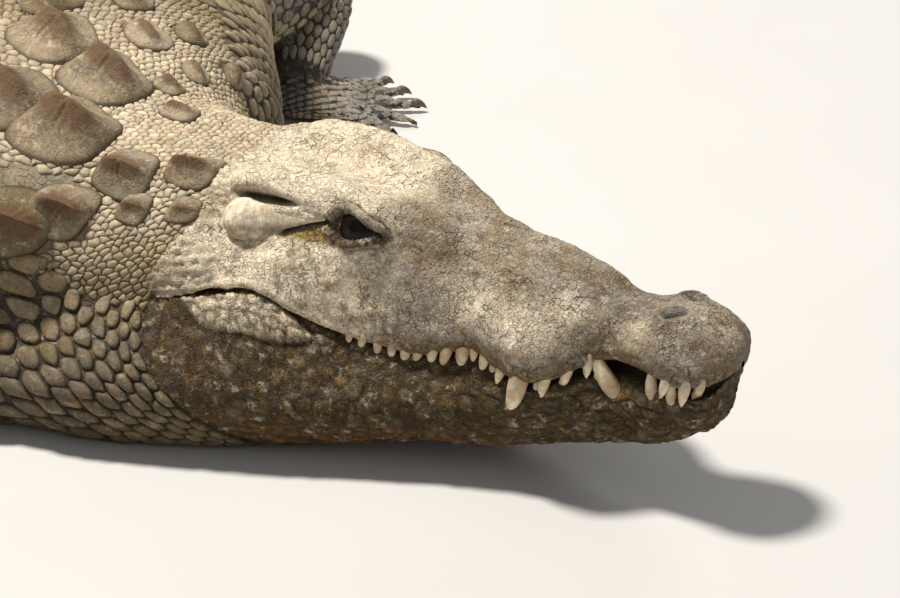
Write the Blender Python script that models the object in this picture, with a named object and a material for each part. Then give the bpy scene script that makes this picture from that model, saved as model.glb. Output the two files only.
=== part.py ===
"""A Nile crocodile at rest, life size, as closed solids in metres.

The animal lies on its belly with its head turned to its left. The body follows one
spine curve on the ground. Head sections are given in head lengths (snout tip to the
rear of the skull table), everything else in metres.
"""

import math

import bmesh
import bpy
import numpy as np
from mathutils import Matrix, Vector

# ---------------------------------------------------------------- driving sizes
HEAD_LENGTH = 0.42            # snout tip to the rear edge of the skull table
GAP = 0.0003                  # clearance between touching solids
NECK_PLANE = 0.084            # arc length from the skull table to the neck cut
NECK_BLEND = 0.11             # length over which the head's section turns into the body's
TAIL_START = 1.12             # arc length from the skull table to the tail cut
TAIL_END = 2.56               # arc length from the skull table to the tail tip
FLOOR = 0.0

# Direction that the animal faces along the spine: (arc length, degrees from +X)
SPINE_HEADING = (
    (0.00, -40), (0.07, -42), (0.14, -49), (0.22, -62), (0.30, -76), (0.38, -88), (0.46, -95),
    (0.62, -96), (0.85, -91), (1.10, -91), (1.35, -80), (1.62, -66), (1.90, -76), (2.15, -100),
    (2.40, -122), (2.60, -130),
)

# Body outline: (arc length, half width on the left, half width on the right, height)
BODY_OUTLINE = (
    (0.084, 0.186, 0.206, 0.218), (0.16, 0.208, 0.254, 0.230), (0.25, 0.226, 0.282, 0.246),
    (0.36, 0.242, 0.282, 0.260), (0.50, 0.243, 0.264, 0.272), (0.66, 0.239, 0.248, 0.282),
    (0.80, 0.228, 0.232, 0.277), (0.94, 0.195, 0.197, 0.247), (1.06, 0.155, 0.155, 0.214),
    (1.20, 0.121, 0.121, 0.185), (1.40, 0.092, 0.092, 0.154), (1.70, 0.064, 0.064, 0.118),
    (2.00, 0.043, 0.043, 0.086), (2.30, 0.023, 0.023, 0.054), (2.56, 0.005, 0.005, 0.014),
)

# Upper head, in head lengths: distance forward, then (half width, height) of the lip,
# the cheek, the side of the table or snout, the edge of the top, and the midline height
UPPER_HEAD = (
    (-0.20, 0.320, 0.270, 0.315, 0.340, 0.215, 0.455, 0.105, 0.515, 0.520),
    (-0.06, 0.276, 0.297, 0.264, 0.360, 0.180, 0.462, 0.130, 0.504, 0.508),
    (0.04, 0.253, 0.327, 0.238, 0.375, 0.168, 0.455, 0.148, 0.504, 0.504),
    (0.12, 0.235, 0.335, 0.217, 0.380, 0.165, 0.450, 0.144, 0.510, 0.503),
    (0.20, 0.215, 0.299, 0.204, 0.371, 0.163, 0.445, 0.132, 0.518, 0.503),
    (0.28, 0.195, 0.271, 0.188, 0.351, 0.166, 0.435, 0.121, 0.528, 0.500),
    (0.35, 0.177, 0.255, 0.171, 0.337, 0.150, 0.425, 0.102, 0.520, 0.488),
    (0.41, 0.160, 0.252, 0.154, 0.327, 0.128, 0.422, 0.092, 0.490, 0.474),
    (0.47, 0.147, 0.262, 0.140, 0.324, 0.116, 0.408, 0.080, 0.460, 0.454),
    (0.53, 0.137, 0.278, 0.133, 0.327, 0.108, 0.396, 0.074, 0.439, 0.440),
    (0.60, 0.147, 0.254, 0.143, 0.318, 0.112, 0.386, 0.076, 0.428, 0.433),
    (0.66, 0.157, 0.254, 0.151, 0.314, 0.113, 0.377, 0.076, 0.414, 0.420),
    (0.73, 0.130, 0.278, 0.126, 0.320, 0.098, 0.370, 0.064, 0.401, 0.407),
    (0.79, 0.087, 0.295, 0.089, 0.326, 0.076, 0.364, 0.048, 0.385, 0.388),
    (0.85, 0.098, 0.301, 0.101, 0.333, 0.080, 0.369, 0.040, 0.386, 0.387),
    (0.90, 0.107, 0.294, 0.109, 0.331, 0.086, 0.375, 0.045, 0.398, 0.397),
    (0.95, 0.104, 0.285, 0.107, 0.325, 0.082, 0.369, 0.042, 0.393, 0.393),
    (0.985, 0.086, 0.289, 0.090, 0.325, 0.066, 0.362, 0.034, 0.380, 0.382),
    (1.012, 0.058, 0.297, 0.062, 0.325, 0.044, 0.351, 0.022, 0.363, 0.365),
    (1.030, 0.024, 0.309, 0.026, 0.325, 0.018, 0.337, 0.009, 0.342, 0.343),
)

# Lower jaw, in head lengths: distance forward, then (half width, height) of the flank,
# the half width of the base, and the height of the base
LOWER_JAW = (
    (-0.20, 0.462, 0.130, 0.390, 0.000), (-0.06, 0.408, 0.126, 0.335, 0.002),
    (0.04, 0.368, 0.126, 0.290, 0.008), (0.12, 0.336, 0.126, 0.255, 0.016),
    (0.20, 0.303, 0.126, 0.226, 0.026), (0.28, 0.268, 0.127, 0.197, 0.036),
    (0.35, 0.238, 0.130, 0.171, 0.045), (0.41, 0.213, 0.134, 0.150, 0.052),
    (0.47, 0.190, 0.138, 0.131, 0.058), (0.53, 0.169, 0.143, 0.116, 0.065),
    (0.60, 0.151, 0.150, 0.099, 0.074), (0.66, 0.138, 0.156, 0.086, 0.085),
    (0.73, 0.112, 0.164, 0.070, 0.097), (0.79, 0.086, 0.173, 0.052, 0.108),
    (0.85, 0.083, 0.184, 0.046, 0.120), (0.90, 0.086, 0.198, 0.045, 0.133),
    (0.95, 0.080, 0.222, 0.040, 0.162), (0.985, 0.060, 0.244, 0.028, 0.194),
    (1.005, 0.036, 0.266, 0.016, 0.230),
)

# Teeth of one side: (distance forward in head lengths, crown length in metres)
UPPER_TEETH = (
    (1.015, 0.011), (0.960, 0.015), (0.745, 0.015), (0.695, 0.015), (0.643, 0.031),
    (0.590, 0.011), (0.519, 0.017), (0.450, 0.013), (0.405, 0.012),
)
LOWER_TEETH = ((0.925, 0.013), (0.806, 0.027), (0.670, 0.011))
TOOTH_SLIMNESS = 0.19         # crown radius as a share of the crown length
TOOTH_ROOT = 0.008            # length of each tooth that is sunk in its jaw

EYE_PLACE = (0.310, 0.119, 0.468)   # forward, to the side, up, in head lengths
EYE_RADIUS = 0.020
EAR_REAR = (0.062, 0.166, 0.443)    # the lobe at the rear end of the ear lid
EAR_FRONT = (0.235, 0.150, 0.479)
EAR_RADII = (0.0165, 0.0055)

# Raised neck scutes: (arc length, offset to the left, half length, half width, height)
NECK_SCUTES = (
    (0.105, 0.032, 0.013, 0.012, 0.008), (0.115, 0.085, 0.014, 0.013, 0.008),
    (0.205, 0.034, 0.034, 0.028, 0.016), (0.200, 0.096, 0.028, 0.025, 0.013),
    (0.272, 0.032, 0.034, 0.028, 0.015),
)
SCUTE_ROOT = 0.008            # depth of a scute's base below the neck's surface
SCUTE_BASE = 0.09             # the neck's back is above this height

# Limbs: joints as (forward, to the side, up) from the spine at the limb's arc length,
# the radius at each joint, and the direction of the hand or foot from straight sideways
ARM_ARC = 0.60
LEG_ARC = 1.05
LEFT_ARM = ((-0.01, 0.165, 0.125), (-0.145, 0.284, 0.082), (-0.040, 0.264, 0.036))
RIGHT_ARM = ((0.00, 0.165, 0.125), (-0.120, 0.296, 0.082), (0.015, 0.312, 0.036))
LEFT_LEG = ((0.00, 0.070, 0.105), (0.105, 0.245, 0.096), (-0.070, 0.275, 0.040))
RIGHT_LEG = ((0.00, 0.070, 0.105), (0.080, 0.255, 0.090), (-0.105, 0.262, 0.040))
ARM_RADII = (0.064, 0.043, 0.027)
LEG_RADII = (0.072, 0.051, 0.029)
HAND_SPAN = (0.058, 0.043, 5)       # palm length, half width at the knuckles, digits
FOOT_SPAN = (0.085, 0.044, 4)
DIGIT_LENGTH = 0.080
TOE_LENGTH = 0.098
CLAWED_DIGITS = 3

# Palm sections: (share of its length, share of its width, half height)
PALM_SHAPE = (
    (-0.42, 0.42, 0.012), (-0.15, 0.74, 0.018), (0.30, 0.84, 0.017), (0.75, 0.98, 0.013),
    (1.08, 0.90, 0.009),
)

LIMB_SHARES = (0.0, 0.25, 0.5, 0.75, 1.0)
LIMB_END = (0.5, 0.8, 0.97)   # rings of the round end, as shares of the end's radius
JOINT_FIT = 0.86              # girth of a lower limb where it enters the upper one

CREST_PITCH = 0.046           # length of one ring of tail scutes
CREST_RISE = (
    (1.12, 0.004), (1.35, 0.014), (1.65, 0.026), (1.95, 0.034), (2.30, 0.030), (2.56, 0.006),
)
CREST_SPREAD = ((1.12, 0.050), (1.35, 0.042), (1.65, 0.026), (1.86, 0.010))
CREST_MERGE = 1.86            # arc length where the two crests become one

SECTION_LOWER = 5             # points from the belly midline to the mouth line
SECTION_UPPER = 7             # points from the mouth line to the back's midline


# ---------------------------------------------------------------- small helpers
def smooth_value(table, column, at):
    """Value of one column of a table at a place, on a smooth curve through its rows."""
    places = np.array([row[0] for row in table], float)
    values = np.array([row[column] for row in table], float)
    slopes = np.gradient(values, places)
    at = min(max(at, places[0]), places[-1])
    k = min(max(int(np.searchsorted(places, at)) - 1, 0), len(places) - 2)
    span = places[k + 1] - places[k]
    t = (at - places[k]) / span
    return float(
        values[k] * (1 + 2 * t) * (1 - t) ** 2 + values[k + 1] * t * t * (3 - 2 * t)
        + span * (slopes[k] * t * (1 - t) ** 2 + slopes[k + 1] * t * t * (t - 1))
    )


def along_polyline(points, count):
    """Evenly spaced points on a smooth curve through a few points of a section."""
    points = np.array(points, float)
    reach = np.r_[0, np.cumsum(np.linalg.norm(np.diff(points, axis=0), axis=1))]
    rows = np.c_[reach, points]
    return [
        tuple(smooth_value(rows, column, at) for column in (1, 2))
        for at in np.linspace(0, reach[-1], count)
    ]


def material(name, colour, roughness):
    """A plain Principled material."""
    made = bpy.data.materials.new(name)
    made.use_nodes = True
    shader = made.node_tree.nodes["Principled BSDF"]
    shader.inputs["Base Color"].default_value = (*colour, 1)
    shader.inputs["Roughness"].default_value = roughness
    shader.inputs["Metallic"].default_value = 0
    return made


def solid(name, bm, finish):
    """Make an object of a bmesh, in triangles with their normals pointing out."""
    bmesh.ops.recalc_face_normals(bm, faces=bm.faces)
    bmesh.ops.triangulate(bm, faces=bm.faces)
    mesh = bpy.data.meshes.new(name)
    bm.to_mesh(mesh)
    bm.free()
    mesh.shade_smooth()
    mesh.materials.append(finish)
    made = bpy.data.objects.new(name, mesh)
    bpy.context.scene.collection.objects.link(made)
    return made


def loft(rings):
    """A closed skin over rings of equal size, made by extruding the first ring's rim."""
    bm = bmesh.new()
    verts = [bm.verts.new(p) for p in rings[0]]
    rim = [bm.edges.new((a, b)) for a, b in zip(verts, verts[1:] + verts[:1])]
    for ring in rings[1:]:
        made = bmesh.ops.extrude_edge_only(bm, edges=rim)
        fresh = {v for v in made["geom"] if isinstance(v, bmesh.types.BMVert)}
        verts = [next(e.other_vert(v) for e in v.link_edges if e.other_vert(v) in fresh) for v in verts]
        for vert, place in zip(verts, ring):
            vert.co = place
        rim = [bm.edges.get((a, b)) for a, b in zip(verts, verts[1:] + verts[:1])]
    bmesh.ops.holes_fill(bm, edges=bm.edges, sides=0)
    return bm


def grown(source, amount):
    """A copy of an object's mesh pushed out along its normals, to cut with."""
    bm = bmesh.new()
    bm.from_mesh(source.data)
    bm.normal_update()
    moves = [(v, v.normal * amount) for v in bm.verts]
    for vert, move in moves:
        vert.co += move
    cutter = solid(source.name + "_cutter", bm, source.data.materials[0])
    cutter.hide_render = True
    cutter.display_type = "WIRE"
    return cutter


def combine(target, tool, operation):
    """Apply one exact Boolean to an object, then remove the tool."""
    step = target.modifiers.new(operation.lower(), "BOOLEAN")
    step.operation = operation
    step.solver = "EXACT"
    step.object = tool
    depsgraph = bpy.context.evaluated_depsgraph_get()
    result = bpy.data.meshes.new_from_object(target.evaluated_get(depsgraph))
    target.modifiers.clear()
    target.data = result
    bpy.data.objects.remove(tool)


def carve(target, *others):
    """Cut neighbours out of an object, leaving the clearance between them."""
    for other in others:
        combine(target, grown(other, GAP), "DIFFERENCE")


def level(target):
    """Cut an object flat at the floor."""
    bm = bmesh.new()
    bm.from_mesh(target.data)
    every = bm.verts[:] + bm.edges[:] + bm.faces[:]
    cut = bmesh.ops.bisect_plane(
        bm, geom=every, dist=1e-6, plane_co=(0, 0, FLOOR), plane_no=(0, 0, -1), clear_outer=True,
    )
    rim = [e for e in cut["geom_cut"] if isinstance(e, bmesh.types.BMEdge)]
    bmesh.ops.triangle_fill(bm, edges=rim, use_beauty=True)
    bmesh.ops.recalc_face_normals(bm, faces=bm.faces)
    bm.to_mesh(target.data)
    bm.free()


def ball(centre, radius, segments, rings):
    """A closed ball."""
    bm = bmesh.new()
    bmesh.ops.create_uvsphere(bm, u_segments=segments, v_segments=rings, radius=radius)
    bmesh.ops.translate(bm, verts=bm.verts, vec=centre)
    return bm


# ---------------------------------------------------------------- the spine
class Spine:
    """The body's centre line on the floor, by arc length behind the skull table."""

    STEP = 0.004

    def __init__(self):
        """Walk backwards from the skull table to the tail tip."""
        self.places = [Vector((0, 0, 0))]
        for k in range(int(TAIL_END / self.STEP) + 8):
            self.places.append(self.places[-1] - self.facing((k + 0.5) * self.STEP) * self.STEP)

    def facing(self, arc):
        """Unit vector that the animal faces at an arc length."""
        angle = math.radians(smooth_value(SPINE_HEADING, 1, arc))
        return Vector((math.cos(angle), math.sin(angle), 0))

    def point(self, arc, side, up):
        """World place at an arc length, an offset to the animal's left, and a height."""
        forward = self.facing(arc)
        left = Vector((-forward.y, forward.x, 0))
        if arc <= 0:
            base = forward * -arc
        else:
            k = int(arc / self.STEP)
            base = self.places[k].lerp(self.places[k + 1], arc / self.STEP - k)
        return base + left * side + Vector((0, 0, up))


SPINE = Spine()


# ---------------------------------------------------------------- sections
def head_section(forward):
    """Half a head section as (lower points, upper points), from the throat to the top."""
    upper = [smooth_value(UPPER_HEAD, column, forward) for column in range(1, 10)]
    lower = [smooth_value(LOWER_JAW, column, forward) for column in range(1, 5)]
    lip, cheek, side, edge = (tuple(upper[k:k + 2]) for k in (0, 2, 4, 6))
    above = along_polyline([lip, cheek, side, edge, (0, upper[8])], SECTION_UPPER)
    below = along_polyline([(0, lower[3]), (lower[2], lower[3]), (lower[0], lower[1]), lip], SECTION_LOWER)
    scale = HEAD_LENGTH
    return ([(w * scale, max(z * scale, FLOOR)) for w, z in half] for half in (below, above))


def body_section(arc):
    """Half a body section from the belly to the back, with its half width as 1."""
    height = smooth_value(BODY_OUTLINE, 3, arc)
    middle = 0.42 * height
    half = []
    for angle in np.linspace(-90, 90, SECTION_LOWER + SECTION_UPPER - 1):
        c, s = math.cos(math.radians(angle)), math.sin(math.radians(angle))
        across = abs(c) ** (0.80 if s > 0 else 0.62)
        up = middle + (height - middle) * s ** 0.92 if s > 0 else middle * (1 - 1.12 * (-s) ** 0.72)
        half.append((max(across, 0), max(up, FLOOR)))
    return half


def closed_ring(arc, half, left=1.0, right=1.0):
    """World points of a whole section from its half, from the belly round and back."""
    near = [SPINE.point(arc, -w * right, z) for w, z in half]
    far = [SPINE.point(arc, w * left, z) for w, z in reversed(half[1:-1])]
    return near + far


def body_ring(arc):
    """A ring of the body, which starts as the head's own section at the neck."""
    half = body_section(arc)
    below, above = head_section(-NECK_PLANE / HEAD_LENGTH)
    first = below + above[1:]
    widest = max(w for w, _ in first)
    t = min(max((arc - NECK_PLANE) / NECK_BLEND, 0), 1)
    share = t * t * (3 - 2 * t)
    mixed = [
        (a[0] / widest * (1 - share) + b[0] * share, a[1] * (1 - share) + b[1] * share)
        for a, b in zip(first, half)
    ]
    left, right = (smooth_value(BODY_OUTLINE, column, arc) for column in (1, 2))
    grip = min(share * 2, 1)
    return closed_ring(arc, mixed, widest + (left - widest) * grip, widest + (right - widest) * grip)


# ---------------------------------------------------------------- head
def head_point(place, side):
    """World place from head lengths, on the left (+1) or right (-1) side."""
    forward, across, up = (HEAD_LENGTH * value for value in place)
    return SPINE.point(-forward, side * across, up)


def head_rings(part):
    """Rings of the upper head or the lower jaw from the neck cut to the tip."""
    table = UPPER_HEAD if part == "upper" else LOWER_JAW
    start = -NECK_PLANE / HEAD_LENGTH + GAP / 2 / HEAD_LENGTH
    rings = []
    for forward in np.r_[np.linspace(start, 0.93, 23), np.linspace(0.96, table[-1][0], 4)]:
        below, above = head_section(forward)
        if part == "upper":
            half = [(0, above[0][1] + GAP / 2)] + [(w, z + GAP / 2) for w, z in above]
        else:
            rim = below[-1]
            inset = 0.0035 if forward > -0.06 else 0
            half = below[:-1] + [(rim[0] - inset, rim[1] - GAP / 2), (0, rim[1] - GAP / 2)]
        rings.append(closed_ring(-forward * HEAD_LENGTH, half))
    return rings


def tooth(forward, crown, side, row):
    """One tooth: a tapered, slightly curved cone sunk in its jaw."""
    below, above = head_section(forward)
    lip_width, lip_height = above[0]
    radius = crown * TOOTH_SLIMNESS + 0.0008
    down = -1 if row == "upper" else 1
    inset = radius * 0.55 if row == "upper" else radius * 1.3 + 0.0015
    rings = []
    for share, girth in ((-TOOTH_ROOT / crown, 0.95), (0.45, 0.88), (1.0, 0.12)):
        lean = (0.22 * share - 0.30 * share * share) * crown
        centre = SPINE.point(
            -forward * HEAD_LENGTH,
            side * (lip_width - inset + lean),
            lip_height + down * share * crown,
        )
        turn = (Vector((math.cos(a), math.sin(a), 0)) for a in np.linspace(0, math.tau, 5)[:-1])
        rings.append([centre + spoke * radius * girth for spoke in turn])
    return loft(rings)


def ear(side):
    """The movable lid over one ear, a lobe that tapers forward."""
    rear, front = head_point(EAR_REAR, side), head_point(EAR_FRONT, side)
    axis = (front - rear).normalized()
    out = axis.orthogonal().normalized()
    other = axis.cross(out)
    rings = []
    for share in np.linspace(-0.20, 1.0, 7):
        wide = EAR_RADII[0] + (EAR_RADII[1] - EAR_RADII[0]) * max(share, 0) ** 0.8
        if share < 0:
            wide *= math.sqrt(max(1 - (share / 0.24) ** 2, 0.1))
        centre = rear.lerp(front, share)
        turn = np.linspace(0, math.tau, 8)[:-1]
        rings.append([centre + (out * math.cos(a) + other * math.sin(a)) * wide for a in turn])
    return loft(rings)


def make_head(hide, ivory, eye_finish):
    """The upper head, the lower jaw, the eyes and the ear lids."""
    head = solid("head", loft(head_rings("upper")), hide)
    jaw = solid("lower_jaw", loft(head_rings("lower")), hide)
    for row, teeth, owner, facing in (("upper", UPPER_TEETH, head, jaw), ("lower", LOWER_TEETH, jaw, head)):
        for side in (1, -1):
            for forward, crown in teeth:
                made = solid("tooth", tooth(forward, crown, side, row), ivory)
                carve(facing, made)
                combine(owner, made, "UNION")
    for side, name in ((1, "left"), (-1, "right")):
        eye = solid("eye_" + name, ball(head_point(EYE_PLACE, side), EYE_RADIUS, 10, 7), eye_finish)
        lid = solid("ear_" + name, ear(side), hide)
        carve(head, eye, lid)


# ---------------------------------------------------------------- neck and trunk
def length_of_body(name, start, end, count, hide):
    """One length of the neck or trunk between two thin cuts."""
    rings = [body_ring(arc) for arc in np.linspace(start + GAP / 2, end - GAP / 2, count)]
    return solid(name, loft(rings), hide)


def neck_scute(arc, side, half_length, half_width, height):
    """A low keeled pyramid that stands on the neck's surface."""
    middle = SPINE.point(arc, 0, 0)
    left = SPINE.point(arc, 1, 0) - middle
    back_points = sorted(((p - middle).dot(left), p.z) for p in body_ring(arc) if p.z > SCUTE_BASE)
    surface = float(np.interp(side, *zip(*back_points)))
    rings = []
    for rise, share, back in ((-SCUTE_ROOT, 1.0, 0.0), (height, 0.16, 0.35 * half_length)):
        turn = np.linspace(0, math.tau, 6)[:-1]
        rings.append([
            SPINE.point(
                arc + back + half_length * share * math.cos(a),
                side + half_width * share * math.sin(a),
                surface + rise,
            ) for a in turn
        ])
    return loft(rings)


def make_trunk(hide):
    """The neck with its raised scutes, and the trunk in three lengths."""
    neck = length_of_body("neck", NECK_PLANE, 0.34, 9, hide)
    for arc, side, half_length, half_width, height in NECK_SCUTES:
        for hand in (1, -1):
            scute = neck_scute(arc, hand * side, half_length, half_width, height)
            combine(neck, solid("scute", scute, hide), "UNION")
    return [
        length_of_body("trunk_chest", 0.34, 0.76, 9, hide),
        length_of_body("trunk_belly", 0.76, 0.94, 5, hide),
        length_of_body("trunk_hips", 0.94, TAIL_START, 5, hide),
    ]


# ---------------------------------------------------------------- tail
def tail_ring(arc, crest, double):
    """A tail section with one or two upright crests on its back."""
    width = smooth_value(BODY_OUTLINE, 1, arc)
    height = smooth_value(BODY_OUTLINE, 3, arc)
    rise = smooth_value(CREST_RISE, 1, arc) * crest
    middle = 0.45 * height
    half = []
    for angle in (-90, -62, -30, 5, 35, 58):
        c, s = math.cos(math.radians(angle)), math.sin(math.radians(angle))
        up = middle + (height - middle) * s if s > 0 else middle * (1 - 1.2 * (-s) ** 0.8)
        half.append((width * c ** 0.75, max(up, FLOOR)))
    if double:
        spread = smooth_value(CREST_SPREAD, 1, min(arc, CREST_MERGE))
        half += [(spread + 0.006, height - 0.002), (spread, height + rise)]
        half += [(spread - 0.005, height - 0.001), (0, height)]
    else:
        half += [(0.20 * width + 0.002, height - 0.001), (0, height + rise)]
    return closed_ring(arc, half)


def length_of_tail(name, start, end, double, hide):
    """One length of the tail between two thin cuts, with its crest in steps."""
    count = max(round((end - start) / CREST_PITCH), 2)
    rings = []
    for k in range(count):
        low = start + GAP / 2 + (end - start - GAP) * k / count
        step = (end - start - GAP) / count
        rings.append(tail_ring(low, 0.35, double))
        rings.append(tail_ring(low + 0.72 * step, 1.0, double))
    rings.append(tail_ring(end - GAP / 2, 0.35, double))
    return solid(name, loft(rings), hide)


def make_tail(hide):
    """The tail in four lengths."""
    length_of_tail("tail_base", TAIL_START, 1.48, True, hide)
    length_of_tail("tail_middle", 1.48, CREST_MERGE, True, hide)
    length_of_tail("tail_end", CREST_MERGE, 2.22, False, hide)
    length_of_tail("tail_tip", 2.22, TAIL_END, False, hide)


# ---------------------------------------------------------------- limbs
def limb_length(start, end, first, last, swell):
    """One length of a limb: a tapered, slightly swollen rod with a round far end."""
    along = (end - start).normalized()
    side = along.cross(Vector((0, 0, 1))).normalized()
    upward = side.cross(along)
    rings = []
    stations = [
        (start.lerp(end, t), (first + (last - first) * t) * (1 + swell * math.sin(math.pi * t)))
        for t in LIMB_SHARES
    ]
    stations += [(end + along * last * reach, last * math.sqrt(1 - reach * reach)) for reach in LIMB_END]
    for centre, radius in stations:
        rings.append([
            centre + side * radius * math.cos(a) + upward * radius * 0.9 * math.sin(a)
            for a in np.linspace(0, math.tau, 10)[:-1]
        ])
    return loft(rings)


def digit(base, heading, length, radius, clawed):
    """One digit, arched slightly, with its claw where it has one."""
    side = Vector((-heading.y, heading.x, 0))
    rings = []
    shape = [(-0.30, 1.0, 1.0), (0.40, 0.86, 1.0), (0.76, 0.66, 0.70)]
    shape.append((1.0, 0.08, 0.12) if clawed else (1.0, 0.30, 0.34))
    for share, girth, lift in shape:
        centre = base + heading * length * share
        ring = []
        for a in np.linspace(0, math.tau, 6)[:-1]:
            p = centre + side * radius * girth * math.cos(a)
            p.z = radius * (lift + girth * math.sin(a))
            ring.append(p)
        rings.append(ring)
    return loft(rings)


def palm(wrist, heading, span):
    """The flat of a hand or foot, from the heel to the knuckles."""
    length, half_width, _ = span
    side = Vector((-heading.y, heading.x, 0))
    rings = []
    for share, wide, high in PALM_SHAPE:
        centre = wrist + heading * length * share
        rings.append([
            centre + side * half_width * wide * math.cos(a)
            + Vector((0, 0, high * (0.8 + math.sin(a)))) for a in np.linspace(0, math.tau, 11)[:-1]
        ])
    return loft(rings)


def make_limb(names, arc, side, joints, radii, turn, span, digit_length, hide, trunk):
    """One limb: two lengths of leg, then the hand or foot with its digits and claws."""
    world = []
    forward = SPINE.facing(arc)
    for ahead, across, up in joints:
        world.append(SPINE.point(arc, side * across, up) + forward * ahead)
    upper = solid(names[0], limb_length(world[0], world[1], radii[0], radii[1], 0.05), hide)
    lower = solid(names[1], limb_length(world[1], world[2], radii[1] * JOINT_FIT, radii[2], 0.10), hide)
    sideways = SPINE.point(arc, side, 0) - SPINE.point(arc, 0, 0)
    turn = math.radians(turn)
    heading = (sideways * math.cos(turn) + forward * math.sin(turn)).normalized()
    base = Vector((world[2].x, world[2].y, 0))
    hand = solid(names[2], palm(base, heading, span), hide)
    across = Vector((-heading.y, heading.x, 0))
    count = span[2]
    for k in range(count):
        fan = (k / (count - 1) - 0.5) * side
        root = base + heading * span[0] * 0.92 + across * fan * span[1] * 1.62
        aim = Matrix.Rotation(math.radians(64 * fan), 3, "Z") @ heading
        length = digit_length * (1.0 - 0.35 * abs(k / (count - 1) - 0.45) * 2)
        inner = k >= count - CLAWED_DIGITS
        finger = digit(root, aim, length, digit_length * 0.135, inner)
        combine(hand, solid("digit", finger, hide), "UNION")
    level(hand)
    carve(lower, upper)
    carve(hand, lower)
    for piece in (upper, lower, hand):
        carve(piece, *trunk)


def make_limbs(hide, trunk):
    """Both arms and both legs."""
    for side, name, arm, leg, hand_turn, foot_turn in (
        (1, "left", LEFT_ARM, LEFT_LEG, 2, 30),
        (-1, "right", RIGHT_ARM, RIGHT_LEG, 38, 20),
    ):
        names = ["arm_upper_" + name, "forearm_" + name, "hand_" + name]
        make_limb(names, ARM_ARC, side, arm, ARM_RADII, hand_turn, HAND_SPAN, DIGIT_LENGTH, hide, trunk[:2])
        names = ["thigh_" + name, "shank_" + name, "foot_" + name]
        make_limb(names, LEG_ARC, side, leg, LEG_RADII, foot_turn, FOOT_SPAN, TOE_LENGTH, hide, trunk[1:])


# ---------------------------------------------------------------- the whole animal
def centre_on_origin():
    """Put the middle of the model's footprint at the origin."""
    corners = [v.co for o in bpy.context.scene.objects for v in o.data.vertices]
    low = Vector(min(c[k] for c in corners) for k in range(3))
    high = Vector(max(c[k] for c in corners) for k in range(3))
    shift = Vector((-(low.x + high.x) / 2, -(low.y + high.y) / 2, 0))
    for made in bpy.context.scene.objects:
        made.data.transform(Matrix.Translation(shift))


def main():
    """Build the crocodile."""
    for old in list(bpy.data.objects):
        bpy.data.objects.remove(old)
    hide = material("hide", (0.30, 0.25, 0.17), 0.75)
    ivory = material("ivory", (0.78, 0.68, 0.50), 0.40)
    eye_finish = material("eye", (0.03, 0.025, 0.02), 0.10)
    make_head(hide, ivory, eye_finish)
    trunk = make_trunk(hide)
    make_tail(hide)
    make_limbs(hide, trunk)
    centre_on_origin()


main()
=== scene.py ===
"""The finished look of a resting Nile crocodile.

One continuous hide stands for the solids of flesh. Over it lie the scales, row by row
along the lie of the body, and the eyes, ear lids, teeth and claws are pieces of their own.
"""

import logging
import math
from collections.abc import Callable
from dataclasses import dataclass, field, replace
from enum import Enum
from itertools import product

import bmesh
import bpy
import numpy as np
from mathutils import Matrix, Vector
from mathutils.bvhtree import BVHTree
from mathutils.kdtree import KDTree


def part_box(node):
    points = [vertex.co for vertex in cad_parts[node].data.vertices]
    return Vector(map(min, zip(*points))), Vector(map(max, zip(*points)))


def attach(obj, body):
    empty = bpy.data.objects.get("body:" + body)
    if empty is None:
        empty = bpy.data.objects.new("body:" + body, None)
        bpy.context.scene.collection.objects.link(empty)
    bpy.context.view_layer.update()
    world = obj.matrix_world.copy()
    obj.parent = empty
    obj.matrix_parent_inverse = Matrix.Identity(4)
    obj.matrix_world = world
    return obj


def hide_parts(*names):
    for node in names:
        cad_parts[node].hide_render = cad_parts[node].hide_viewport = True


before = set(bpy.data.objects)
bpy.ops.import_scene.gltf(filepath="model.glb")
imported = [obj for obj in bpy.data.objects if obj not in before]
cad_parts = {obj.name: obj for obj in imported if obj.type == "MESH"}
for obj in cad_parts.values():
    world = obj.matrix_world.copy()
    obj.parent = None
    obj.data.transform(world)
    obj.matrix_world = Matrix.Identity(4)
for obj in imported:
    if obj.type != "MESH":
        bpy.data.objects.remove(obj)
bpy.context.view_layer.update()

LOG = logging.getLogger("crocodile")

# ---------------------------------------------------------------- driving sizes
HEAD = 0.42                   # head length, snout tip to the rear of the skull table
COAT = 0.0032                 # depth of the scales over the hide
NECK_PLANE = 0.084            # arc length at which the head's section turns into the body's
NECK_BLEND = 0.11
NECK_END = 0.345              # arc length at which the trunk's own scales start
TRUNK_MIDDLE = 0.74
TAIL_BLEND = (1.00, 1.20)     # arc lengths over which the body's section turns into the tail's
TAIL_TIP = 2.56
CREST_PITCH = 0.046
CREST_MERGE = 1.86
EYE_PLACE = (0.310, 0.119, 0.468)
EYE_SHIFT = (-0.0215, 0.0, -0.005)   # of the eyeball from the middle of its solid, in head lengths
EYE_RADIUS = 0.020
EYE_OUTWARD = (0.90, 0.44)    # direction out of the orbit: sideways and up
FLOOR_GAP = 0.0006            # least height of a tube's or claw's surface over the floor
SEAM = 0.00002                # vertices closer than this are one

# Direction that the animal faces along the spine: (arc length, degrees from +X)
SPINE_HEADING = (
    (0.00, -40), (0.07, -42), (0.14, -49), (0.22, -62), (0.30, -76), (0.38, -88), (0.46, -95),
    (0.62, -96), (0.85, -91), (1.10, -91), (1.35, -80), (1.62, -66), (1.90, -76), (2.15, -100),
    (2.40, -122), (2.60, -130),
)

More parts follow.
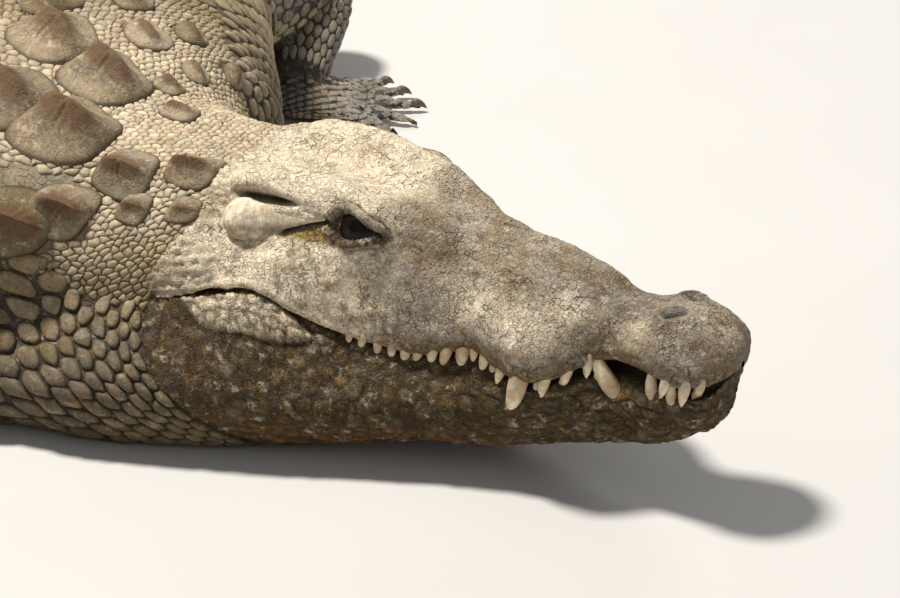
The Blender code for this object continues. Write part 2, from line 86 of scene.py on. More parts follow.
# Body outline: (arc length, half width on the left, half width on the right, height)
BODY_OUTLINE = (
    (0.084, 0.186, 0.206, 0.218), (0.16, 0.208, 0.254, 0.230), (0.25, 0.226, 0.282, 0.246),
    (0.36, 0.242, 0.282, 0.260), (0.50, 0.243, 0.264, 0.267), (0.66, 0.239, 0.248, 0.2742),
    (0.80, 0.228, 0.232, 0.271), (0.94, 0.195, 0.197, 0.247), (1.06, 0.155, 0.155, 0.214),
    (1.20, 0.121, 0.121, 0.185), (1.40, 0.092, 0.092, 0.154), (1.70, 0.064, 0.064, 0.118),
    (2.00, 0.043, 0.043, 0.086), (2.30, 0.023, 0.023, 0.054), (2.56, 0.005, 0.005, 0.014),
)

# Upper head, in head lengths: distance forward, then (half width, height) of the lip, the
# cheek, the side of the table or snout, the edge of the top, and the midline height
UPPER_HEAD = (
    (-0.20, 0.320, 0.270, 0.315, 0.340, 0.215, 0.455, 0.105, 0.515, 0.520),
    (-0.06, 0.276, 0.297, 0.264, 0.360, 0.180, 0.462, 0.130, 0.504, 0.508),
    (0.04, 0.253, 0.327, 0.238, 0.375, 0.168, 0.455, 0.148, 0.504, 0.504),
    (0.12, 0.235, 0.335, 0.217, 0.380, 0.165, 0.450, 0.144, 0.510, 0.503),
    (0.20, 0.215, 0.299, 0.204, 0.371, 0.163, 0.445, 0.132, 0.518, 0.503),
    (0.28, 0.195, 0.271, 0.188, 0.351, 0.166, 0.435, 0.121, 0.528, 0.500),
    (0.35, 0.177, 0.255, 0.171, 0.337, 0.150, 0.425, 0.102, 0.520, 0.488),
    (0.41, 0.160, 0.252, 0.154, 0.327, 0.128, 0.422, 0.092, 0.490, 0.474),
    (0.47, 0.147, 0.262, 0.140, 0.324, 0.116, 0.408, 0.080, 0.460, 0.454),
    (0.53, 0.137, 0.278, 0.133, 0.327, 0.108, 0.396, 0.074, 0.439, 0.440),
    (0.60, 0.147, 0.254, 0.143, 0.318, 0.112, 0.386, 0.076, 0.428, 0.433),
    (0.66, 0.157, 0.254, 0.151, 0.314, 0.113, 0.377, 0.076, 0.414, 0.420),
    (0.73, 0.130, 0.278, 0.126, 0.320, 0.098, 0.370, 0.064, 0.401, 0.407),
    (0.79, 0.087, 0.295, 0.089, 0.326, 0.076, 0.364, 0.048, 0.385, 0.388),
    (0.85, 0.098, 0.301, 0.101, 0.333, 0.080, 0.369, 0.040, 0.386, 0.387),
    (0.90, 0.107, 0.294, 0.109, 0.331, 0.086, 0.375, 0.045, 0.398, 0.397),
    (0.95, 0.104, 0.285, 0.107, 0.325, 0.082, 0.369, 0.042, 0.393, 0.393),
    (0.985, 0.086, 0.289, 0.090, 0.325, 0.066, 0.362, 0.034, 0.380, 0.382),
    (1.012, 0.058, 0.297, 0.062, 0.325, 0.044, 0.351, 0.022, 0.363, 0.365),
    (1.030, 0.024, 0.309, 0.026, 0.325, 0.018, 0.337, 0.009, 0.342, 0.343),
)

# Lower jaw, in head lengths: distance forward, then (half width, height) of the flank,
# the half width of the base, and the height of the base
LOWER_JAW = (
    (-0.20, 0.462, 0.130, 0.390, 0.000), (-0.06, 0.408, 0.126, 0.335, 0.002),
    (0.04, 0.368, 0.126, 0.290, 0.008), (0.12, 0.336, 0.126, 0.255, 0.016),
    (0.20, 0.303, 0.126, 0.226, 0.026), (0.28, 0.268, 0.127, 0.197, 0.036),
    (0.35, 0.238, 0.130, 0.171, 0.045), (0.41, 0.213, 0.134, 0.150, 0.052),
    (0.47, 0.190, 0.138, 0.131, 0.058), (0.53, 0.169, 0.143, 0.116, 0.065),
    (0.60, 0.151, 0.150, 0.099, 0.074), (0.66, 0.138, 0.156, 0.086, 0.085),
    (0.73, 0.112, 0.164, 0.070, 0.097), (0.79, 0.086, 0.173, 0.052, 0.108),
    (0.85, 0.083, 0.184, 0.046, 0.120), (0.90, 0.086, 0.198, 0.045, 0.133),
    (0.95, 0.080, 0.222, 0.040, 0.162), (0.985, 0.060, 0.244, 0.028, 0.194),
    (1.005, 0.036, 0.266, 0.016, 0.230),
)

# How far the mouth stands open: (distance forward in head lengths, metres)
MOUTH_OPEN = (
    (-0.06, 0.0004), (0.10, 0.0016), (0.30, 0.0026), (0.38, 0.0050), (0.46, 0.0095), (0.54, 0.0115),
    (0.62, 0.0115), (0.70, 0.0120), (0.755, 0.0140), (0.80, 0.0175), (0.86, 0.0165), (0.92, 0.0125),
    (0.97, 0.0085), (1.03, 0.0040),
)

# Where the fold between head and neck lies: (share from belly to back, arc length)
NECK_FOLD = (
    (0.00, -0.062), (0.12, -0.058), (0.28, -0.046), (0.42, -0.012), (0.55, 0.028), (0.62, 0.038),
    (0.70, 0.022), (0.78, 0.011), (0.88, 0.007), (1.00, 0.005),
)
NECK_FADE = 0.30              # arc length at which the rows of scales stop leaning with the fold


# ---------------------------------------------------------------- numbers
def scatter(cells: np.ndarray, seed: int) -> np.ndarray:
    """Turn whole-number cells into even random values.

    Args:
        cells: (n, k) whole numbers.
        seed: Picks one of many patterns.

    Returns:
        (n, 3) values from 0 to 1, the same for the same cell and seed.
    """
    primes = np.array([73856093, 19349663, 83492791], np.int64)[: cells.shape[1]]
    mixed = (cells.astype(np.int64) * primes).sum(axis=1) + seed * 2654435761
    values = []
    for turn in (1, 2, 3):
        word = (mixed * (2 * turn + 1) + turn * 97531) & 0xFFFFFFFF
        word = ((word ^ (word >> 15)) * 2246822519) & 0xFFFFFFFF
        word = ((word ^ (word >> 13)) * 3266489917) & 0xFFFFFFFF
        values.append(((word ^ (word >> 16)) & 0xFFFFFF) / float(0x1000000))
    return np.stack(values, axis=1)


def soft_noise(points: np.ndarray, size: float, seed: int) -> np.ndarray:
    """Smooth noise from 0 to 1 in space.

    Args:
        points: (n, 3) places in metres.
        size: Distance between the noise's lattice points.
        seed: Picks one of many patterns.

    Returns:
        (n,) values.
    """
    scaled = points / size
    base = np.floor(scaled).astype(np.int64)
    part = scaled - base
    part = part * part * (3 - 2 * part)
    total = np.zeros(len(points))
    for corner in product((0, 1), repeat=3):
        weight = np.prod(np.where(corner, part, 1 - part), axis=1)
        total += weight * scatter(base + np.array(corner), seed)[:, 0]
    return total


def rough_noise(points: np.ndarray, size: float, seed: int) -> np.ndarray:
    """Three layers of smooth noise, from 0 to 1."""
    layers = [soft_noise(points, size / 2 ** k, seed + k) / 2 ** k for k in range(3)]
    return sum(layers) / 1.75


def patchy(points: np.ndarray, size: float, seed: int, low: float, high: float) -> np.ndarray:
    """Irregular patches from 0 to 1, where rough noise passes from one value to another."""
    return ramp(rough_noise(points, size, seed), low, high)


def cells_of(points: np.ndarray, size: float, seed: int) -> tuple[np.ndarray, ...]:
    """Irregular cells in space, as the polygons of cracked hide.

    Args:
        points: (n, 3) places in metres.
        size: Typical width of a cell.
        seed: Picks one of many patterns.

    Returns:
        Distance to the cell's middle, distance to its border (both in cell widths), and
        one random value for each cell.
    """
    scaled = points / size
    base = np.floor(scaled).astype(np.int64)
    nearest = np.full(len(points), 9.0)
    second = np.full(len(points), 9.0)
    value = np.zeros(len(points))
    for step in product((-1, 0, 1), repeat=3):
        cell = base + np.array(step)
        spread = scatter(cell, seed)
        away = np.linalg.norm(cell + 0.12 + 0.76 * spread - scaled, axis=1)
        closer = away < nearest
        second = np.where(closer, nearest, np.minimum(second, away))
        value = np.where(closer, spread[:, 0], value)
        nearest = np.where(closer, away, nearest)
    return nearest, (second - nearest) / 2, value


def ramp(value: np.ndarray, low: float, high: float) -> np.ndarray:
    """A smooth step from 0 at one value to 1 at another."""
    t = np.clip((value - low) / (high - low), 0, 1)
    return t * t * (3 - 2 * t)


def fade(value: np.ndarray, low: float, high: float) -> np.ndarray:
    """A smooth step from 1 at one value to 0 at another."""
    return 1 - ramp(value, low, high)


def hump(value: np.ndarray, middle: float, width: float, power: int = 2) -> np.ndarray:
    """A smooth bump of height 1 about a middle value."""
    return np.exp(-((value - middle) / width) ** power)


def unit(vectors: np.ndarray, least: float = 1e-9) -> np.ndarray:
    """The same directions with length 1."""
    return vectors / np.maximum(np.linalg.norm(vectors, axis=-1, keepdims=True), least)


def reach_of(line: np.ndarray) -> np.ndarray:
    """Distance along a polyline to each of its points."""
    return np.r_[0, np.cumsum(np.linalg.norm(np.diff(line, axis=0), axis=1))]


def resample(where: np.ndarray, places: np.ndarray, table: np.ndarray) -> np.ndarray:
    """Every column of a table, read between its rows."""
    return np.stack([np.interp(where, places, column) for column in table.T], axis=1)


def crowded(where: np.ndarray, weight: np.ndarray, count: int) -> np.ndarray:
    """Places between two ends, closer together where the weight is larger."""
    reach = np.r_[0, np.cumsum((weight[1:] + weight[:-1]) / 2)]
    return np.interp(np.linspace(0, reach[-1], count), reach, where)


class Table:
    """A smooth curve through the rows of a table, read at any place."""

    def __init__(self, rows: tuple) -> None:
        """Keep the rows and the slopes at them.

        Args:
            rows: Rows of numbers, each with its place first.
        """
        data = np.array(rows, float)
        self.places = data[:, 0]
        self.values = data[:, 1:]
        self.slopes = np.gradient(self.values, self.places, axis=0)

    def at(self, where: np.ndarray) -> np.ndarray:
        """Read every other column.

        Args:
            where: (n,) places along the table's first column.

        Returns:
            (n, columns) values.
        """
        where = np.clip(np.atleast_1d(where), self.places[0], self.places[-1])
        k = np.clip(np.searchsorted(self.places, where) - 1, 0, len(self.places) - 2)
        span = (self.places[k + 1] - self.places[k])[:, None]
        t = (where - self.places[k])[:, None] / span
        low, high = self.values[k], self.values[k + 1]
        level = low * (1 + 2 * t) * (1 - t) ** 2 + high * t * t * (3 - 2 * t)
        lean = self.slopes[k] * t * (1 - t) ** 2 + self.slopes[k + 1] * t * t * (t - 1)
        return level + span * lean


def along(points: list, count: int, first: int = 0) -> np.ndarray:
    """Points at even steps on a smooth curve through a few points of a section.

    Args:
        points: Control points, as (across, up).
        count: How many points to give.
        first: The control point that the result starts at. Earlier ones only set its slope.

    Returns:
        (count, 2) points, from that control point to the last.
    """
    control = np.array(points, float)
    reach = reach_of(control)
    return Table(np.c_[reach, control]).at(np.linspace(reach[first], reach[-1], count))


def length_of(line: np.ndarray) -> float:
    """Length of a polyline."""
    return np.linalg.norm(np.diff(line, axis=0), axis=1).sum()


def even_steps(line: np.ndarray, count: int) -> np.ndarray:
    """A polyline again, as points that are evenly spaced along it."""
    reach = reach_of(line)
    return resample(np.linspace(0, reach[-1], count), reach, line)


# ---------------------------------------------------------------- the lie of the body
class Spine:
    """The body's centre line on the floor, by arc length behind the skull table."""

    STEP = 0.004

    def __init__(self) -> None:
        """Walk backwards from the skull table to the tail tip."""
        self.heading = Table(SPINE_HEADING)
        middles = (np.arange(int(TAIL_TIP / self.STEP) + 20) + 0.5) * self.STEP
        steps = -self.facing(middles) * self.STEP
        self.places = np.vstack([np.zeros(2), np.cumsum(steps, axis=0)])
        self.origin = np.zeros(2)
        low, high = (np.array(corner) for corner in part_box("eye_left"))
        forward, across, up = (value * HEAD for value in EYE_PLACE)
        self.origin = ((low + high) / 2 - self.bend(np.array([[forward, across, up]]))[0])[:2]

    def facing(self, arc: np.ndarray) -> np.ndarray:
        """Unit vectors that the animal faces at some arc lengths."""
        angle = np.radians(self.heading.at(arc)[:, 0])
        return np.stack([np.cos(angle), np.sin(angle)], axis=1)

    def bend(self, straight: np.ndarray) -> np.ndarray:
        """Move points of the straight animal to their places in the world.

        Args:
            straight: (n, 3) places forward of the skull table, to the left, and up.

        Returns:
            (n, 3) world places.
        """
        arc = -straight[:, 0]
        forward = self.facing(arc)
        left = np.stack([-forward[:, 1], forward[:, 0]], axis=1)
        k = np.clip((arc / self.STEP).astype(int), 0, len(self.places) - 2)
        rest = np.maximum(arc, 0) / self.STEP - k
        base = self.places[k] + (self.places[k + 1] - self.places[k]) * rest[:, None]
        base += forward * np.minimum(arc, 0)[:, None] * -1
        flat = base + left * straight[:, 1:2] + self.origin
        return np.c_[flat, straight[:, 2]]


SPINE = Spine()
CREASE = Table(NECK_FOLD)


def bent(table: np.ndarray) -> np.ndarray:
    """A (rows, columns, 3) table of straight places, moved to the world."""
    return SPINE.bend(table.reshape(-1, 3)).reshape(table.shape)


def eye_centre(side: int) -> np.ndarray:
    """Straight place of an eyeball's centre."""
    return (np.array(EYE_PLACE) + EYE_SHIFT) * (1, side, 1) * HEAD


def shifted_snout(forward: np.ndarray) -> np.ndarray:
    """Distances forward, with the snout and its teeth set back into the animal's box."""
    return forward - 0.0015 * ramp(forward, 0.60 * HEAD, 0.85 * HEAD)


class HeadForm:
    """Smooth sections of the head."""

    def __init__(self) -> None:
        """Read the tables."""
        self.upper = Table(UPPER_HEAD)
        self.lower = Table(LOWER_JAW)
        self.opening = Table(MOUTH_OPEN)

    def half(self, forward: float, below: int, above: int) -> tuple[np.ndarray, np.ndarray]:
        """Half a section, in metres, from the throat to the lip and from the lip to the top.

        Args:
            forward: Distance forward in head lengths.
            below: How many points the lower half has.
            above: How many points the upper half has.

        Returns:
            Two lists of (across, up).
        """
        row = self.upper.at(forward)[0]
        lip, cheek, side, edge = (tuple(row[k:k + 2]) for k in (0, 2, 4, 6))
        mirrored = (-edge[0], edge[1])
        crown = along([mirrored, (0, row[8]), edge, side, cheek, lip], above, 1)[::-1]
        flank_w, flank_z, base_w, base_z = self.lower.at(forward)[0]
        floor = [(side * base_w, base_z) for side in (-1, 0, 1)]
        throat = along([*floor, (flank_w, flank_z), lip], below, 1)
        return np.maximum(throat, 0) * HEAD, np.maximum(crown, 0) * HEAD


class BodyForm:
    """The straight body as a table of sections, from behind the mouth to the tail tip."""

    STEP = 0.005
    AROUND = 193

    def __init__(self, head: HeadForm) -> None:
        """Work out every section, evenly stepped from the belly over the back and round.

        Args:
            head: The head's form, for the size of the neck's front.
        """
        self.head = head
        self.outline = Table(BODY_OUTLINE)
        self.arcs = np.arange(-0.14, TAIL_TIP + self.STEP, self.STEP)
        self.sections = np.array([self.section(arc) for arc in self.arcs])

    def dome(self, height: float, middle: float, wide: tuple, tall: tuple, flat: float) -> np.ndarray:
        """Half a plain section of width 1, from the belly to the back.

        Args:
            height: Height of the section.
            middle: Height of its widest place, as a share of the whole.
            wide: Powers that square the width above and below that place.
            tall: Powers that square the height above and below it.
            flat: How far the belly is pressed flat.

        Returns:
            Rows of (across, up).
        """
        angle = np.radians(np.linspace(-90, 90, 101))
        c, s = np.abs(np.cos(angle)), np.sin(angle)
        middle = middle * height
        over = middle + (height - middle) * np.abs(s) ** tall[0]
        upward = np.where(s > 0, over, middle * (1 - flat * np.abs(s) ** tall[1]))
        return np.c_[c ** np.where(s > 0, *wide), np.maximum(upward, 0)]

    def section(self, arc: float) -> np.ndarray:
        """One whole section as (to the left, up).

        Args:
            arc: Arc length behind the skull table.

        Returns:
            (n, 2) places, starting at the belly on the right.
        """
        left, right, height = self.outline.at(arc)[0]
        trunk = self.dome(height, 0.42, (0.80, 0.62), (0.92, 0.72), 1.12)
        tail = self.dome(height, 0.45, (0.75, 0.75), (1.0, 0.8), 1.2)
        share = ramp(arc, *TAIL_BLEND)
        shape = trunk * (1 - share) + tail * share
        share = float(ramp(arc, NECK_PLANE, NECK_PLANE + NECK_BLEND))
        if share < 1:
            throat, crown = self.head.half(-min(arc, NECK_PLANE) / HEAD, 41, 61)
            first = np.vstack([throat, crown[1:]])
            widest = first[:, 0].max()
            first[:, 0] /= widest
            shape = first * (1 - share) + shape * share
            grip = min(share * 2, 1)
            left, right = (widest + (width - widest) * grip for width in (left, right))
        near, far = (even_steps(shape * (width, 1), self.AROUND // 2 + 1) for width in (right, left))
        return np.vstack([near * (-1, 1), far[::-1][1:]])

    def place(self, arc: np.ndarray, around: np.ndarray) -> np.ndarray:
        """Straight places on the body.

        Args:
            arc: (n,) distances behind the skull table.
            around: (n,) from -1, the belly by the right, over 0, the back, to 1.

        Returns:
            (n, 3) places forward, to the left, and up.
        """
        row = np.clip((arc - self.arcs[0]) / self.STEP, 0, len(self.arcs) - 1.001)
        column = np.clip((around + 1) / 2 * (self.AROUND - 1), 0, self.AROUND - 1.001)
        i, j = row.astype(int), column.astype(int)
        a, b = (row - i)[:, None], (column - j)[:, None]
        flat = (
            self.sections[i, j] * (1 - a) * (1 - b) + self.sections[i + 1, j] * a * (1 - b)
            + self.sections[i, j + 1] * (1 - a) * b + self.sections[i + 1, j + 1] * a * b
        )
        return np.c_[-arc, flat]

    def skin(self, arcs: np.ndarray, around: np.ndarray) -> np.ndarray:
        """Straight places behind the fold of the neck.

        Args:
            arcs: (n,) arc lengths, which lean with the fold at the neck.
            around: (m,) shares round the body.

        Returns:
            (n, m, 3) places.
        """
        lean = CREASE.at(1 - np.abs(around))[:, 0]
        slants = [lean * fade(arc, 0.0, NECK_FADE) for arc in arcs]
        whole = np.ones(len(around))
        return np.array([self.place(arc * whole + slant, around) for arc, slant in zip(arcs, slants)])


# ---------------------------------------------------------------- meshes
def grid(rows: int, columns: int) -> tuple[bmesh.types.BMesh, np.ndarray]:
    """A flat grid to lay over a surface.

    Args:
        rows: Points one way.
        columns: Points the other way.

    Returns:
        The bmesh, and each vertex's (row, column).
    """
    bm = bmesh.new()
    bmesh.ops.create_grid(bm, x_segments=rows - 1, y_segments=columns - 1, size=1)
    flat = np.array([v.co[:2] for v in bm.verts])
    spots = np.rint((flat + 1) / 2 * (rows - 1, columns - 1)).astype(int)
    return bm, spots


def place_vertices(bm: bmesh.types.BMesh, places: np.ndarray) -> None:
    """Give every vertex its place."""
    for vert, place in zip(bm.verts, places.tolist()):
        vert.co = place


def places_of(bm: bmesh.types.BMesh) -> np.ndarray:
    """Every vertex's place, as an array."""
    return np.array([v.co[:] for v in bm.verts])


def normals_of(bm: bmesh.types.BMesh) -> np.ndarray:
    """Every vertex's normal, as an array."""
    bm.normal_update()
    return np.array([v.normal[:] for v in bm.verts])


def paint_vertices(bm: bmesh.types.BMesh, name: str, values: np.ndarray) -> None:
    """Store one value, or one colour, for each vertex of a bmesh.

    Args:
        bm: The bmesh.
        name: The layer's name.
        values: (n,) numbers or (n, 3) colours.
    """
    kinds = bm.verts.layers
    layer = (kinds.float if values.ndim == 1 else kinds.float_color).new(name)
    rows = values if values.ndim == 1 else np.c_[values, np.ones(len(values))]
    for vert, value in zip(bm.verts, rows.tolist()):
        vert[layer] = value


def face_outwards(bm: bmesh.types.BMesh) -> None:
    """Turn the faces of a closed or open shell so that they point outwards."""
    bmesh.ops.recalc_face_normals(bm, faces=bm.faces[:])


def paint(mesh: bpy.types.Mesh, name: str, values: np.ndarray) -> None:
    """Store one value, or one colour, for each vertex of a mesh.

    Args:
        mesh: The mesh.
        name: The attribute's name.
        values: (n,) numbers or (n, 3) colours.
    """
    if values.ndim == 1:
        layer, key = mesh.attributes.new(name, "FLOAT", "POINT"), "value"
    else:
        layer, key = mesh.attributes.new(name, "FLOAT_COLOR", "POINT"), "color"
        values = np.c_[values, np.ones(len(values))].ravel()
    layer.data.foreach_set(key, values.astype(np.float32))


def linked(name: str, data: bpy.types.ID) -> bpy.types.Object:
    """Put a new object into the scene.

    Args:
        name: The object's name.
        data: Its mesh, light or camera.

    Returns:
        The new object.
    """
    made = bpy.data.objects.new(name, data)
    bpy.context.scene.collection.objects.link(made)
    return made


def piece(
    name: str, mesh: bpy.types.Mesh, finish: bpy.types.Material, replaced: tuple = ()
) -> bpy.types.Object:
    """Make a finished piece of a mesh.

    Args:
        name: The piece's name.
        mesh: Its mesh, in world places.
        finish: Its material.
        replaced: The frame's nodes that it stands for.

    Returns:
        The new object.
    """
    mesh.materials.clear()
    mesh.materials.append(finish)
    made = linked(name, mesh)
    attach(made, "root")
    if replaced:
        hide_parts(*replaced)
    LOG.info("%s: %d faces", name, len(mesh.polygons))
    return made


def mesh_of(name: str, bm: bmesh.types.BMesh, smooth: bool = True) -> bpy.types.Mesh:
    """Turn a bmesh into a mesh and free it.

    Args:
        name: The mesh's name.
        bm: The bmesh.
        smooth: Whether its faces are shaded smooth.

    Returns:
        The mesh.
    """
    mesh = bpy.data.meshes.new(name)
    bm.to_mesh(mesh)
    bm.free()
    if smooth:
        mesh.shade_smooth()
    return mesh


def joined(name: str, parts: list, smooth: bool = True) -> bpy.types.Mesh:
    """Join several bmeshes into one mesh and free them.

    Args:
        name: The mesh's name.
        parts: The bmeshes.
        smooth: Whether its faces are shaded smooth.

    Returns:
        The mesh.
    """
    whole = bmesh.new()
    for part in parts:
        mesh = mesh_of("part", part, smooth=False)
        whole.from_mesh(mesh)
        bpy.data.meshes.remove(mesh)
    return mesh_of(name, whole, smooth)


def tube(line: np.ndarray, wide: np.ndarray, tall: np.ndarray, beside: tuple = (0, 0, 1),
         around: int = 40, turn: int = -1) -> np.ndarray:
    """Places round a line.

    Args:
        line: (n, 3) centre line.
        wide: (n,) radius across `beside`.
        tall: (n,) radius along `beside`.
        beside: Direction that the ring's first half turns towards.
        around: How many points lie round the line.
        turn: 1 or -1, the way round.

    Returns:
        (n, around + 1, 3) places, with the first column repeated at the end.
    """
    ahead = unit(np.gradient(line, axis=0))
    across = unit(np.cross(ahead, beside))
    above = np.cross(across, ahead)
    angle = np.linspace(0, turn * 2 * math.pi, around + 1)
    ring = (
        across[:, None] * (wide[:, None] * np.cos(angle))[..., None]
        + above[:, None] * (tall[:, None] * np.sin(angle))[..., None]
    )
    return line[:, None] + ring


def closed(table: np.ndarray, seam: float = SEAM, share: bool = False) -> bmesh.types.BMesh:
    """A shell with closed ends from a table of places round it.

    Args:
        table: (rows, columns, 3) places, with the first column repeated at the end.
        seam: Vertices closer than this become one.
        share: Whether to store the share from the first row to the last as "share".

    Returns:
        The bmesh.
    """
    bm, spots = grid(*table.shape[:2])
    place_vertices(bm, table[spots[:, 0], spots[:, 1]])
    if share:
        paint_vertices(bm, "share", spots[:, 0] / (len(table) - 1))
    bmesh.ops.remove_doubles(bm, verts=bm.verts[:], dist=seam)
    bmesh.ops.holes_fill(bm, edges=[edge for edge in bm.edges if edge.is_boundary], sides=0)
    face_outwards(bm)
    return bm


def tapered(
    line: np.ndarray, radii: np.ndarray, around: int, flat: float, beside: tuple
) -> bmesh.types.BMesh:
    """A closed spike along a line, full in one direction, with "share" from its root to its tip."""
    return closed(tube(line, radii * flat, radii, beside, around, 1), 0.00001, True)


# ---------------------------------------------------------------- the head
def orbit_grain(forward: np.ndarray, up: np.ndarray) -> np.ndarray:
    """Where the small grains between the ear and the eye lie, from 0 to 1."""
    return ramp(forward, 0.222, 0.232) * fade(forward, 0.252, 0.262) * hump(up, 0.458, 0.024, 4)


@dataclass
class EyeOpening:
    """The gap between the lids, drawn on the plane that faces out of the orbit."""

    side: int
    upper: tuple = (
        (-0.0215, -0.0010), (-0.0197, 0.0034), (-0.0150, 0.0076), (-0.0085, 0.0098), (-0.0010, 0.0092),
        (0.0060, 0.0064), (0.0140, 0.0022), (0.0235, -0.0014),
    )
    lower: tuple = (
        (-0.0215, -0.0010), (-0.0200, -0.0074), (-0.0140, -0.0118), (-0.0060, -0.0130), (0.0010, -0.0122),
        (0.0060, -0.0108), (0.0150, -0.0068), (0.0235, -0.0014),
    )

    def frame(self, straight: np.ndarray) -> tuple[np.ndarray, np.ndarray, np.ndarray]:
        """Where points lie from the eye's centre.

        Args:
            straight: (n, 3) places on the straight animal.

        Returns:
            Offsets from the centre, distances forward, and distances up the orbit's plane.
        """
        offset = straight - eye_centre(self.side)
        level = unit(offset) * (EYE_RADIUS + 0.002)
        sideways, upwards = EYE_OUTWARD
        return offset, level[:, 0], level[:, 2] * sideways - level[:, 1] * self.side * upwards

    def depth(self, forward: np.ndarray, up: np.ndarray) -> np.ndarray:
        """Signed distance to the gap's edge.

        Args:
            forward: (n,) distances forward of its middle.
            up: (n,) distances up the orbit's plane.

        Returns:
            (n,) distances, above 0 inside the gap.
        """
        rear, front = self.upper[0][0], self.upper[-1][0]
        steps = np.linspace(rear, front, 60)
        lids = Table(self.upper), Table(self.lower)
        places = np.vstack([np.c_[steps, lid.at(steps)] for lid in lids])
        away = np.linalg.norm(np.c_[forward, up][:, None] - places[None], axis=2).min(axis=1)
        top, bottom = (lid.at(forward)[:, 0] for lid in lids)
        inside = (forward > rear) & (forward < front) & (up < top) & (up > bottom)
        return np.where(inside, away, -away)


